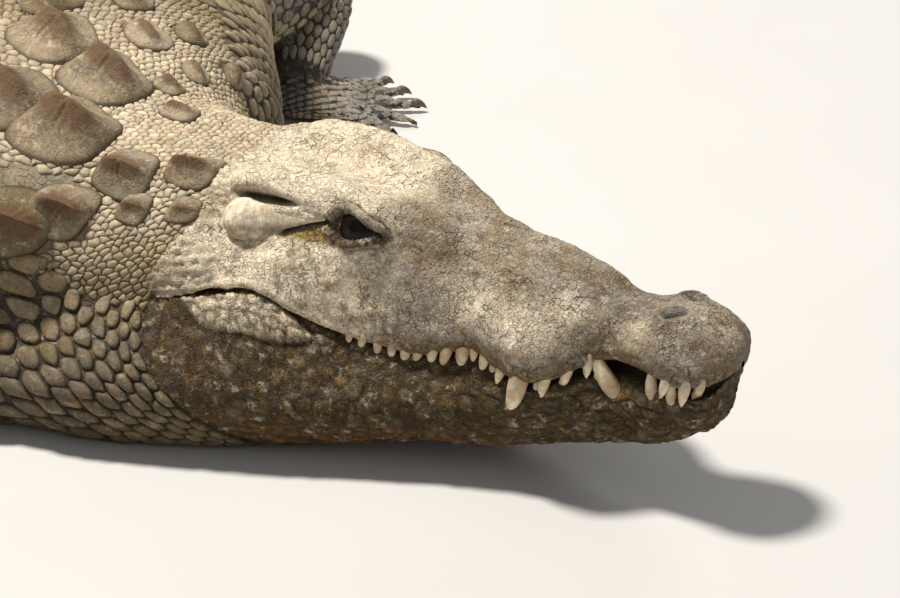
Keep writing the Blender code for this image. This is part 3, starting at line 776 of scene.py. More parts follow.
@dataclass
class HeadSkin:
    """The hide of the head, one closed grid from the throat over the lips to the skull table."""

    rings: int = 304
    throat_columns: int = 66
    crown_columns: int = 90
    groove: tuple = (0.45, 1.0, 1.0, 0.45)   # shares of the mouth's depth between the lips
    rear: float = -0.19
    front: float = 1.030
    chin: float = 0.965
    slit: tuple[float, float] = (0.136, 0.236)
    mouth_depth: float = 0.015
    lip_round: float = 0.006
    # bumps and hollows: forward, across and up in head lengths, then radius and height in metres
    bosses: tuple = (
        (0.551, 0.140, 0.386, 0.022, 0.0045), (0.612, 0.142, 0.345, 0.026, 0.0040),
        (0.655, 0.150, 0.300, 0.024, 0.0050), (0.590, 0.135, 0.290, 0.020, 0.0030),
        (0.520, 0.130, 0.300, 0.018, 0.0030), (0.700, 0.130, 0.290, 0.018, 0.0035),
        (0.455, 0.140, 0.280, 0.020, 0.0025), (0.400, 0.155, 0.275, 0.020, 0.0020),
        (0.940, 0.026, 0.408, 0.013, 0.0012), (0.888, 0.050, 0.385, 0.018, 0.0025),
        (0.366, 0.080, 0.515, 0.012, 0.0035), (0.405, 0.080, 0.495, 0.012, 0.0030),
        (0.447, 0.080, 0.466, 0.013, 0.0030), (0.519, 0.070, 0.448, 0.015, 0.0025),
        (0.610, 0.060, 0.432, 0.016, 0.0020), (0.700, 0.050, 0.412, 0.016, 0.0020),
        (0.120, 0.122, 0.515, 0.026, 0.0095), (0.058, 0.150, 0.500, 0.014, 0.0070),
        (0.205, 0.126, 0.522, 0.024, 0.0060), (0.293, 0.088, 0.516, 0.011, -0.0065),
        (0.340, 0.170, 0.400, 0.030, -0.0040), (0.200, 0.190, 0.400, 0.035, 0.0030),
        (0.040, 0.215, 0.400, 0.030, -0.0030), (0.760, 0.105, 0.330, 0.016, -0.0020),
    )
    # unevenness of the lips: size and height in metres, and seed
    lip_waves: tuple = ((0.018, 0.0012, 3), (0.009, 0.0005, 7))
    # the scaly pad under the corner of the mouth: forward, height of its middle, half its height
    pad: tuple = (
        (-0.030, 0.302, 0.004), (0.040, 0.297, 0.028), (0.120, 0.299, 0.033), (0.190, 0.274, 0.022),
        (0.235, 0.260, 0.004),
    )
    form: HeadForm = field(default_factory=HeadForm)

    def ring_places(self) -> np.ndarray:
        """Distances forward of every ring, closer at the eyes, the nostrils and the tip.

        Returns:
            (rings,) distances in head lengths.
        """
        where = np.linspace(self.rear, self.front, 2000)
        weight = 1 + 2.3 * hump(where, 0.30, 0.062, 4) + 0.5 * hump(where, 0.89, 0.06)
        weight += 1.8 * ramp(where, 0.96, 1.02) - 0.4 * ramp(-where, 0.05, 0.15)
        return crowded(where, weight, self.rings)

    def crown_places(self) -> np.ndarray:
        """Shares from the lip to the midline, closer at the lip and along the eye.

        Returns:
            (crown_columns,) shares from 0 to 1.
        """
        where = np.linspace(0, 1, 1000)
        weight = 1 + 1.5 * hump(where, 0.58, 0.10, 4) + 0.8 * hump(where, 0, 0.05)
        return crowded(where, weight, self.crown_columns)

    def throat_places(self) -> np.ndarray:
        """Shares from the throat to the lip, closer on the jaw's side.

        Returns:
            (throat_columns,) shares from 0 to 1.
        """
        where = np.linspace(0, 1, 1000)
        weight = 0.35 + 1.0 * ramp(where, 0.25, 0.45) + 0.9 * hump(where, 1, 0.06)
        return crowded(where, weight, self.throat_columns)

    def half_ring(self, forward: float) -> np.ndarray:
        """Half a ring, from the throat's midline to the top's.

        Args:
            forward: Distance forward in head lengths.

        Returns:
            (columns, 4) rows of forward, across, up and the share of the way round.
        """
        throat, crown = self.form.half(forward, 101, 161)
        low_share, high_share = self.throat_places(), self.crown_places()
        low = resample(low_share, np.linspace(0, 1, 101), throat)
        high = resample(high_share, np.linspace(0, 1, 161), crown)
        low_length, high_length = length_of(throat), length_of(crown)
        opening = self.form.opening.at(forward)[0, 0]
        mouth = float(ramp(forward, -0.06, 0.03))
        lip = throat[-1].copy()
        tuck = 0.0035 * float(ramp(forward, 0.16, 0.34)) * mouth
        near_lip = np.exp(-(((1 - low_share) * low_length) / 0.022) ** 2)
        low[:, 1] -= opening * near_lip
        low[:, 0] = np.maximum(low[:, 0] - tuck * near_lip, low[:, 0] * 0.5)
        edge = 0.0030 * mouth + 0.0006
        for part, away in ((low, (1 - low_share) * low_length), (high, high_share * high_length)):
            rounding = np.clip(1 - away / self.lip_round, 0, 1) ** 2
            part[:, 0] = np.maximum(part[:, 0] - edge * rounding, part[:, 0] * 0.6)
        depth = min(self.mouth_depth * mouth + 0.0006, 0.6 * high[0, 0])
        steps = np.linspace(0, 1, len(self.groove) + 2)[1:-1]
        between = low[-1] * (1 - steps[:, None]) + high[0] * steps[:, None]
        between[:, 0] -= depth * np.array(self.groove)
        groove = np.full(len(steps), low_length)
        shares = np.r_[low_share * low_length, groove, low_length + high_share * high_length]
        ahead = np.full(len(shares), forward * HEAD)
        section = np.vstack([low, between, high])
        lower_part = len(low) + len(steps) // 2
        chin = max(forward - self.chin, 0) / (self.front - self.chin)
        if chin > 0:
            ahead[:lower_part] = (self.chin + 0.036 * math.sin(chin * math.pi / 2)) * HEAD
            centre = np.array([0, lip[1] - 0.012])
            shrink = math.sqrt(max(1 - chin * chin, 0.0004))
            start = resample(low_share, np.linspace(0, 1, 101), self.form.half(self.chin, 101, 161)[0])
            start[:, 1] -= opening * near_lip
            section[:len(low)] = centre + (start - centre) * shrink
            section[len(low):lower_part] = section[len(low) - 1] * (0.6, 1)
        return np.c_[ahead, section, shares / shares[-1]]

    def base(self) -> tuple[np.ndarray, np.ndarray]:
        """The plain form of the head.

        Returns:
            (rings, columns, 3) straight places, and the share of the way round of each.
        """
        halves = np.array([self.half_ring(forward) for forward in self.ring_places()])
        tip = halves[-1:].copy()
        share = 0.25
        tip[..., 1] *= share
        tip[..., 2] = tip[..., 2] * share + (1 - share) * tip[..., 2].mean()
        halves = np.concatenate([halves, tip])
        whole = np.concatenate([halves, halves[:, ::-1][:, 1:] * (1, -1, 1, 1)], axis=1)
        return whole[..., :3], whole[..., 3]

    def outward(self, places: np.ndarray) -> np.ndarray:
        """Outward normals of a grid of places."""
        return unit(np.cross(np.gradient(places, axis=1), np.gradient(places, axis=0)))

    def behind_crease(self, places: np.ndarray, share: np.ndarray) -> np.ndarray:
        """How far behind the fold of the neck each place lies, in metres."""
        return -places[..., 0] - CREASE.at(share.ravel())[:, 0].reshape(share.shape)

    def pad_depth(self, places: np.ndarray) -> np.ndarray:
        """Signed distance, in metres, into the scaly pad under the corner of the mouth.

        Args:
            places: (n, 3) straight places.

        Returns:
            (n,) distances, above 0 on the pad.
        """
        forward = places[:, 0] / HEAD
        middle, half = Table(self.pad).at(forward).T
        depth = (half - np.abs(places[:, 2] / HEAD - middle)) * HEAD
        return np.where((forward > self.pad[0][0]) & (forward < self.pad[-1][0]), depth, -0.02)

    def relief(self, places: np.ndarray, share: np.ndarray, low: np.ndarray) -> tuple[np.ndarray, np.ndarray]:
        """How far the hide stands out from the plain form.

        Args:
            places: (n, 3) straight places.
            share: (n,) shares of the way round.
            low: (n,) true on the lower jaw.

        Returns:
            The height, and how deep each place lies in cracks, folds, pits or grooves, from 0 to 1, which is
            painted as shade.
        """
        forward = places[:, 0] / HEAD
        folded = places * (1, 0, 1) + np.abs(places) * (0, 1, 0)
        height = np.zeros(len(places))
        for *place, radius, tall in self.bosses:
            away = np.linalg.norm(folded - np.array(place) * HEAD, axis=1)
            height += tall * hump(away, 0, radius)
        high = ramp(places[:, 2] / HEAD, 0.40, 0.48)
        snout = ramp(forward, 0.30, 0.45)
        height += (rough_noise(places, 0.030, 11) - 0.5) * (0.0026 + 0.0026 * snout)
        height += (rough_noise(places, 0.011, 12) - 0.5) * 0.0022
        line = np.abs(soft_noise(places * (0.7, 1, 1), 0.013, 13) - 0.5)
        wrinkle = fade(line, 0.0, 0.045) * ramp(soft_noise(places, 0.028, 14), 0.45, 0.65)
        height -= wrinkle * 0.0009
        _, border, value = cells_of(places * (0.72, 1, 1), 0.0115, 21)
        crack_and_shade = fade(border, 0.02, 0.16)
        plates = (0.25 + 0.45 * np.abs(value - 0.5)) * ramp(forward, -0.30, 0.0)
        pad = self.pad_depth(places)
        on_pad = ramp(pad, 0.0, 0.003) * low
        jaw = low * (1 - on_pad)
        rear = ramp(-forward, -0.06 - 0.02 * high, 0.03) * (1 - on_pad) * ramp(share, 0.50, 0.56)
        grain_middle, grain_border, _ = cells_of(places * (0.80, 1.15, 1.15), 0.0068, 24)
        bead = (1 - np.minimum(grain_middle / 0.62, 1) ** 2) * 0.0014
        bead_crack = fade(grain_border, 0.02, 0.20)
        height += rear * (bead - bead_crack * 0.0006)
        up = places[:, 2] / HEAD
        above_lip = up - self.form.upper.at(forward)[:, 1]
        cheek = hump(above_lip, 0.055, 0.055) * ramp(forward, -0.04, 0.02) * fade(forward, 0.34, 0.44)
        knob_middle, _, knob_value = cells_of(places, 0.0095, 26)
        knobbed = (knob_value > 0.50) * cheek * (1 - low)
        knob_pit = fade(knob_middle, 0.04, 0.18) * knobbed
        height += fade(knob_middle, 0.16, 0.50) * knobbed * 0.0026 - knob_pit * 0.0018
        roll = hump(above_lip, 0.010, 0.014) * (1 - low) * ramp(forward, -0.05, 0.0)
        height += roll * 0.0016 * fade(forward, 0.26, 0.36)
        slack_line = up - 0.18 * forward + 0.02 * soft_noise(places, 0.03, 27)
        slack = np.sin(slack_line / 0.0185 * 2 * math.pi) ** 3 * (1 - low)
        height += slack * 0.0010 * hump(forward, -0.01, 0.075) * fade(up, 0.42, 0.46)
        grain = orbit_grain(forward, up)
        small_middle, small_border, _ = cells_of(places, 0.0034, 28)
        height += grain * ((1 - np.minimum(small_middle / 0.62, 1) ** 2) * 0.0014)
        deep = 0.00040 + 0.00085 * jaw + 0.00005 * high
        height += (plates * 0.0009 - crack_and_shade * deep) * (1 - on_pad)
        fine_middle, fine_border, _ = cells_of(places, 0.0040, 22)
        fine = fade(fine_border, 0.0, 0.20)
        height += (0.35 - fine_middle) * 0.00045 * (1 - on_pad)
        tile_middle, tile_border, _ = cells_of(places * (0.80, 1.10, 1.10), 0.0092, 23)
        tile_crack = fade(tile_border, 0.03, 0.15)
        dome = (1 - np.minimum(tile_middle / 0.70, 1) ** 4) * 0.0016
        ring = hump(tile_middle, 0.22, 0.07)
        height += on_pad * (0.0045 * ramp(pad, 0.0, 0.012) + dome - tile_crack * 0.0014 - ring * 0.0006)
        rim = hump(pad, -0.0015, 0.0020) * low
        height -= rim * 0.0024
        for size, tall, seed in self.lip_waves:
            height += (soft_noise(places, size, seed) - 0.5) * tall * hump(share, 0.48, 0.06)
        sunk = self.behind_crease(places, share)
        fold = hump(sunk, 0, 0.006) * fade(share, 0.60, 0.72)
        height -= 0.0035 * fold + 0.0075 * ramp(sunk, 0.0, 0.014) * fade(share, 0.62, 0.70)
        height -= 0.0065 * ramp(sunk, 0.000, 0.022) * ramp(share, 0.62, 0.70)
        folds = self.folds(places) * low
        height -= folds * 0.0016
        # painted shade: how dark each place is in cracks, the pad's grooves, folds, pits and the borders of
        # grains
        inside = np.maximum.reduce([
            crack_and_shade * (0.10 + 0.62 * jaw) * (1 - on_pad), 0.72 * tile_crack * on_pad,
            0.12 * ring * on_pad, 0.9 * rim, fold, 0.8 * folds, fine * 0.06, wrinkle * 0.25,
            bead_crack * rear * 0.30, 0.65 * knob_pit, 0.5 * grain * fade(small_border, 0.02, 0.2),
        ])
        return height, inside

    def folds(self, places: np.ndarray) -> np.ndarray:
        """Long folds of the jowl behind the corner of the mouth, from 0 to 1.

        Args:
            places: (n, 3) straight places.

        Returns:
            (n,) values.
        """
        forward, up = places[:, 0] / HEAD, places[:, 2] / HEAD
        fan = up - 0.285 + (forward + 0.03) * 0.35
        wave = np.sin(fan / 0.0125 * math.pi + 2.2 * soft_noise(places, 0.02, 31)) ** 8
        return wave * ramp(forward, -0.12, -0.07) * fade(forward, 0.02, 0.10) * hump(fan, 0, 0.055)

    def open_eye(self, places: np.ndarray, side: int) -> tuple[np.ndarray, np.ndarray]:
        """Raise the lids round an eye and sink the skin between them.

        Args:
            places: (n, 3) straight places.
            side: 1 for the left, -1 for the right.

        Returns:
            The new places and the signed depth into the opening.
        """
        opening = EyeOpening(side)
        offset, ahead, up = opening.frame(places)
        away = np.linalg.norm(offset, axis=1)
        near = (away < 0.060) & (places[:, 1] * side > 0.02)
        hold = fade(up, 0.0125, 0.0210)
        depth = np.full(len(places), -0.05)
        depth[near] = opening.depth(ahead[near], up[near])
        lid = EYE_RADIUS + 0.0026
        depth -= np.maximum(away - lid - 0.001, 0) * 0.9 * near
        swell = 0.006
        top = np.maximum(away, lid)
        soft = np.maximum(swell - np.abs(away - lid), 0) / swell
        target = top + soft * soft * swell * 0.25
        edge = ramp(depth, -0.0022, 0.0004)
        brow = ramp(up, -0.001, 0.003) * hump(depth, -0.0016, 0.0030)
        target = target - edge * 0.0010 + 0.0022 * brow
        crease_gap = np.where(up > 0, 0.0066, 0.0064)
        crease = np.exp(-((depth + crease_gap) / 0.0010) ** 2) * ramp(-away, -0.036, -0.028)
        target -= 0.0016 * crease
        self.lid_crease = np.where(near, crease, self.lid_crease)
        self.lid_above = np.where(near, ramp(up, -0.003, 0.003), self.lid_above)
        target += 0.0010 * hump(depth, -0.0032, 0.0022)
        sunk = np.maximum(EYE_RADIUS - 0.0028, away - 0.0042)
        inside = ramp(depth, 0.0000, 0.0012)
        target = target * (1 - inside) + np.minimum(sunk, target) * inside
        moved = places + offset / np.maximum(away, 1e-6)[:, None] * ((target - away) * hold)[:, None]
        return np.where(near[:, None], moved, places), depth

    def ear_slit(self, places: np.ndarray) -> tuple[np.ndarray, np.ndarray, np.ndarray]:
        """Depth of the ear's slit and of the hollow over the ear lid.

        Args:
            places: (n, 3) straight places.

        Returns:
            The depth in metres, how much each place lies in the slit or in the hollow over the lid,
            which is painted as shade, and how much in the lower ear lid beneath it.
        """
        forward, up = places[:, 0] / HEAD, places[:, 2] / HEAD
        outside = np.abs(places[:, 1]) > 0.11 * HEAD
        along_slit = (forward - self.slit[0]) / (self.slit[1] - self.slit[0])
        line = 0.441 + 0.037 * along_slit
        window = ramp(along_slit, -0.05, 0.10) * fade(along_slit, 0.95, 1.03)
        slit = hump(up, line, 0.0060) * window * outside
        beneath = line - up
        lower = fade(beneath, 0.010 + 0.030 * along_slit, 0.014 + 0.034 * along_slit)
        lower = ramp(beneath, 0.002, 0.008) * lower * window * outside
        hollow_line = 0.491 + 0.040 * (forward - 0.05)
        thick = 0.0050 + 0.0085 * hump(forward, 0.075, 0.050)
        hollow = hump(up, hollow_line, thick) * ramp(forward, 0.010, 0.055) * fade(forward, 0.12, 0.19)
        hollow = hollow * outside
        # painted shade: the slit and the hollow over the lid
        return 0.0075 * slit + 0.0165 * hollow + 0.0012 * lower, np.maximum(slit, 0.90 * hollow), lower

    def nostrils(self, places: np.ndarray) -> tuple[np.ndarray, np.ndarray]:
        """The rims and openings of the nostrils.

        Args:
            places: (n, 3) straight places.

        Returns:
            The height in metres, and how much each place lies inside an opening.
        """
        offset = np.stack([places[:, 0] - 0.905 * HEAD, np.abs(places[:, 1]) - 0.038 * HEAD], axis=1)
        turn = math.radians(38)
        ahead = offset[:, 0] * math.cos(turn) - offset[:, 1] * math.sin(turn)
        across = offset[:, 0] * math.sin(turn) + offset[:, 1] * math.cos(turn)
        top = ramp(places[:, 2] / HEAD, 0.36, 0.375)
        bow = across - 9.0 * ahead * ahead
        oval = np.sqrt((ahead / 0.0120) ** 2 + (across / 0.0095) ** 2)
        rim = hump(oval, 1.0, 0.25) * 0.0016
        disc = -0.0010 * fade(oval, 0.7, 1.0)
        slit = hump(bow, 0, 0.0026) * fade(np.abs(ahead), 0.0070, 0.0100)
        return (rim + disc - slit * 0.0065) * top, np.maximum(slit, 0.30 * fade(oval, 0.75, 1.05)) * top

    def build(self, markings: "Markings") -> bmesh.types.BMesh:
        """Build the hide and remember its colours.

        Args:
            markings: Gives every place its colour.

        Returns:
            A bmesh in world places, with its colours and the painted shade of its cracks and folds as layers
            of its vertices.
        """
        base, share = self.base()
        rows, columns = share.shape
        on_jaw, in_mouth = np.zeros((2, columns))
        jaw_end, groove = self.throat_columns, len(self.groove)
        for order in (1, -1):
            on_jaw[::order][:jaw_end + groove // 2] = 1
            in_mouth[::order][jaw_end:jaw_end + groove] = 1
        places = base.reshape(-1, 3)
        shares = share.ravel()
        low, mouth = np.tile(on_jaw, rows), np.tile(in_mouth, rows)
        height, inside = self.relief(places, shares, low)
        ear, slit, lower_lid = self.ear_slit(places)
        nose, nostril = self.nostrils(places)
        height = (height - ear + nose) * (1 - mouth)
        tip = np.repeat(np.arange(rows) >= rows - 3, columns)
        height = np.where(tip, 0, height)
        moved = places + self.outward(base).reshape(-1, 3) * height[:, None]
        self.lid_crease = self.lid_above = np.zeros(len(moved))
        moved, left_eye = self.open_eye(moved, 1)
        moved, right_eye = self.open_eye(moved, -1)
        moved[:, 0] = np.minimum(moved[:, 0], HEAD + (moved[:, 0] - HEAD) * 0.88)
        moved[:, 0] = shifted_snout(moved[:, 0])
        moved[:, 2] = np.maximum(moved[:, 2], 0.0004)
        eye = np.maximum(left_eye, right_eye)
        lids = ramp(eye, -0.0060, -0.0040) * fade(eye, 0.0, 0.001)
        masks = {
            "low": low, "eye": eye, "lower_ear": lower_lid, "nostril": nostril, "lids": lids,
            "above": self.lid_above, "pad": ramp(self.pad_depth(places), 0.0, 0.003) * low,
        }
        hue = markings.head(moved, masks)
        # painted shade: near black in the cracks, folds and pits, the mouth's gap, the nostrils, the ear's
        # slit and the hollow over it, and the creases round the eyes
        crack_and_shade = np.clip(np.maximum.reduce([inside, nostril, mouth, slit, 0.85 * self.lid_crease]), 0, 1)
        bm, spots = grid(rows, columns)
        order = spots[:, 0] * columns + spots[:, 1]
        place_vertices(bm, SPINE.bend(moved)[order])
        paint_vertices(bm, "hue", hue[order])
        paint_vertices(bm, "crack_and_shade", crack_and_shade[order])
        bmesh.ops.remove_doubles(bm, verts=bm.verts[:], dist=SEAM)
        face_outwards(bm)
        return bm


# ---------------------------------------------------------------- the body
@dataclass
class Limb:
    """A leg and its foot, as tapering tubes along smooth lines."""

    name: str
    side: int
    arc: float
    joints: tuple
    radii: tuple
    turn: float
    span: tuple
    digits: int
    digit_length: float
    hind: bool
    steps: int = 64
    palm: tuple = (
        (-0.42, 0.42, 0.012), (-0.15, 0.74, 0.018), (0.30, 0.84, 0.017), (0.75, 0.98, 0.013),
        (1.08, 0.90, 0.009),
    )

    def world(self, joint: tuple) -> np.ndarray:
        """World place of a joint.

        Args:
            joint: Distances ahead, across and up.

        Returns:
            Its world place.
        """
        ahead, across, up = joint
        base = SPINE.bend(np.array([[-self.arc, self.side * across, up]]))[0]
        heading = SPINE.facing(np.array([self.arc]))[0]
        return base + np.r_[heading, 0] * ahead

    def line(self) -> tuple[np.ndarray, np.ndarray]:
        """Centre line of the leg and its radius at every step.

        Returns:
            (steps, 3) world places and (steps,) radii.
        """
        corners = np.array([self.world(joint) for joint in self.joints])
        reach = reach_of(corners)
        table = Table(np.c_[reach, corners, np.array(self.radii)])
        values = table.at(np.linspace(0, reach[-1], self.steps))
        return values[:, :3], values[:, 3]

    def leg(self) -> np.ndarray:
        """The leg from inside the trunk to the wrist or ankle."""
        line, radius = self.line()
        return tube(line, radius, radius * 0.9)

    def heading(self) -> np.ndarray:
        """Flat direction in which the foot points.

        Returns:
            A direction with no height.
        """
        forward = SPINE.facing(np.array([self.arc]))[0]
        sideways = np.array([-forward[1], forward[0]]) * self.side
        angle = math.radians(self.turn)
        return np.r_[sideways * math.cos(angle) + forward * math.sin(angle), 0]

    def sole(self) -> np.ndarray:
        """The palm or sole, a flattened tube.

        Returns:
            Places round it, ring by ring.
        """
        base = self.world(self.joints[2])
        heading = self.heading()
        shares = np.linspace(self.palm[0][0], self.palm[-1][0], 26)
        shape = Table(self.palm).at(shares)
        line = base[None] + heading[None] * (shares * self.span[0])[:, None]
        line[:, 2] = np.minimum(shape[:, 1] + 0.001, np.linspace(base[2], 0.012, len(shares)) + 0.004)
        return tube(line, shape[:, 0] * self.span[1], np.minimum(shape[:, 1], line[:, 2] - FLOOR_GAP))

    def digit(self, k: int) -> np.ndarray:
        """One finger or toe, a tapering tube that lies on the floor.

        Args:
            k: Its place in the row of digits.

        Returns:
            Places round it.
        """
        base = self.world(self.joints[2])
        heading = self.heading()
        across = np.array([-heading[1], heading[0], 0]) * self.side
        beside = across * self.fan(k) * self.span[1] * 1.62 * self.side
        root = base + heading * self.span[0] * 0.92 + beside
        aim = self.aim(k)
        length, radius = self.digit_size(k)
        clawed = self.clawed(k)
        shape = Table((
            (-0.30, 1.0, 1.0), (0.05, 0.98, 1.05), (0.22, 0.82, 0.9), (0.40, 0.90, 0.95), (0.58, 0.70, 0.75),
            (0.72, 0.74, 0.72), (0.86, 0.52 if clawed else 0.60, 0.45), (1.0, 0.16, 0.2),
        ))
        shares = np.linspace(-0.30, 0.90 if clawed else 0.99, 30)
        values = shape.at(shares)
        line = root[None] + aim[None] * (shares * length)[:, None]
        tall = radius * values[:, 1]
        line[:, 2] = tall + 0.0008
        return tube(line, radius * values[:, 0], tall)

    def fan(self, k: int) -> float:
        """Where a digit lies across the foot, from -0.5 to 0.5."""
        return (k / (self.digits - 1) - 0.5) * self.side

    def aim(self, k: int) -> np.ndarray:
        """Direction of one digit.

        Args:
            k: Its place in the row of digits.

        Returns:
            A direction with no height.
        """
        angle = math.radians(64 * self.fan(k))
        c, s = math.cos(angle), math.sin(angle)
        x, y, _ = self.heading()
        return np.array([x * c - y * s, x * s + y * c, 0])

    def digit_size(self, k: int) -> tuple[float, float]:
        """Length and radius of one digit."""
        length = self.digit_length * (1 - 0.35 * abs(k / (self.digits - 1) - 0.45) * 2)
        return length, self.digit_length * 0.135

    def clawed(self, k: int) -> bool:
        """Whether a digit ends in a claw."""
        return k >= self.digits - 3


LIMBS = (
    Limb("arm_left", 1, 0.60, ((-0.01, 0.165, 0.125), (-0.145, 0.284, 0.082), (-0.040, 0.264, 0.036)),
         (0.064, 0.043, 0.027), 2, (0.058, 0.043), 5, 0.080, False),
    Limb("arm_right", -1, 0.60, ((0.00, 0.165, 0.125), (-0.120, 0.296, 0.082), (0.015, 0.312, 0.036)),
         (0.064, 0.043, 0.027), 38, (0.058, 0.043), 5, 0.080, False),
    Limb("leg_left", 1, 1.05, ((0.00, 0.070, 0.105), (0.105, 0.245, 0.096), (-0.070, 0.275, 0.040)),
         (0.072, 0.051, 0.029), 30, (0.085, 0.044), 4, 0.098, True),
    Limb("leg_right", -1, 1.05, ((0.00, 0.070, 0.105), (0.080, 0.255, 0.090), (-0.105, 0.262, 0.040)),
         (0.072, 0.051, 0.029), 20, (0.085, 0.044), 4, 0.098, True),
)


@dataclass
class BodySkin:
    """The hide of neck, trunk, tail and legs, joined into one shell."""

    form: BodyForm
    voxel: float = 0.0057
    inset: float = COAT
    around: int = 121

    def trunk(self) -> np.ndarray:
        """Places of the trunk and tail, from inside the head to the tail tip.

        Returns:
            (rings, around, 3) world places.
        """
        arcs = np.r_[-0.050, -0.045, -0.030, np.arange(0.0, TAIL_TIP - 0.004, 0.008)]
        table = self.form.skin(arcs, np.linspace(-1, 1, self.around))
        for places, shrink in zip(table, (0.80, 0.86, 0.93)):
            centre = np.array([places[:, 0].mean(), 0, places[:, 2].mean()])
            places[:] = centre + (places - centre) * (1, shrink, shrink)
        return bent(table)

    def build(self) -> bpy.types.Mesh:
        """Join every tube, inset the result by the coat's depth, and smooth it.

        Returns:
            The finished mesh in world places.
        """
        tubes = [self.trunk()]
        for limb in LIMBS:
            tubes += [limb.leg(), limb.sole()] + [limb.digit(k) for k in range(limb.digits)]
        rough = linked("tubes", joined("tubes", [closed(table) for table in tubes], smooth=False))
        remesh = rough.modifiers.new("join", "REMESH")
        remesh.mode = "VOXEL"
        remesh.voxel_size = self.voxel
        bpy.context.view_layer.update()
        whole = bpy.data.meshes.new_from_object(rough.evaluated_get(bpy.context.evaluated_depsgraph_get()))
        bpy.data.objects.remove(rough)
        bm = bmesh.new()
        bm.from_mesh(whole)
        bpy.data.meshes.remove(whole)
        for _ in range(3):
            bmesh.ops.smooth_vert(
                bm, verts=bm.verts[:], factor=0.5, use_axis_x=True, use_axis_y=True, use_axis_z=True
            )
        places = places_of(bm) - normals_of(bm) * self.thinned(places_of(bm))[:, None]
        places[:, 2] = np.maximum(places[:, 2], FLOOR_GAP)
        place_vertices(bm, places)
        return mesh_of("body_hide", bm)

    def thinned(self, places: np.ndarray) -> np.ndarray:
        """How far the hide lies under the coat's surface: less on the digits and the tail tip.

        Args:
            places: (n, 3) world places.

        Returns:
            (n,) depths in metres.
        """
        far = np.array([limb.world(limb.joints[2]) for limb in LIMBS])
        away = np.linalg.norm(places[:, None] - far[None], axis=2).min(axis=1)
        return self.inset * (0.35 + 0.65 * ramp(away, 0.05, 0.14))


# ---------------------------------------------------------------- colours
@dataclass(frozen=True)
class Hues:
    """Linear colours of the animal."""

    cream: tuple = (0.78, 0.665, 0.495)
    tan: tuple = (0.50, 0.395, 0.265)
    brown: tuple = (0.150, 0.087, 0.022)
    grey: tuple = (0.260, 0.220, 0.175)
    slate: tuple = (0.165, 0.165, 0.155)
    olive: tuple = (0.132, 0.094, 0.026)
    pale: tuple = (0.52, 0.42, 0.25)
    rust: tuple = (0.30, 0.135, 0.042)
    # near black: the painted shade in the eye's opening, and dark patches on the jaw
    groove: tuple = (0.034, 0.024, 0.014)
    lid: tuple = (0.33, 0.265, 0.19)
    lid_low: tuple = (0.095, 0.052, 0.026)
    ear: tuple = (0.33, 0.225, 0.060)


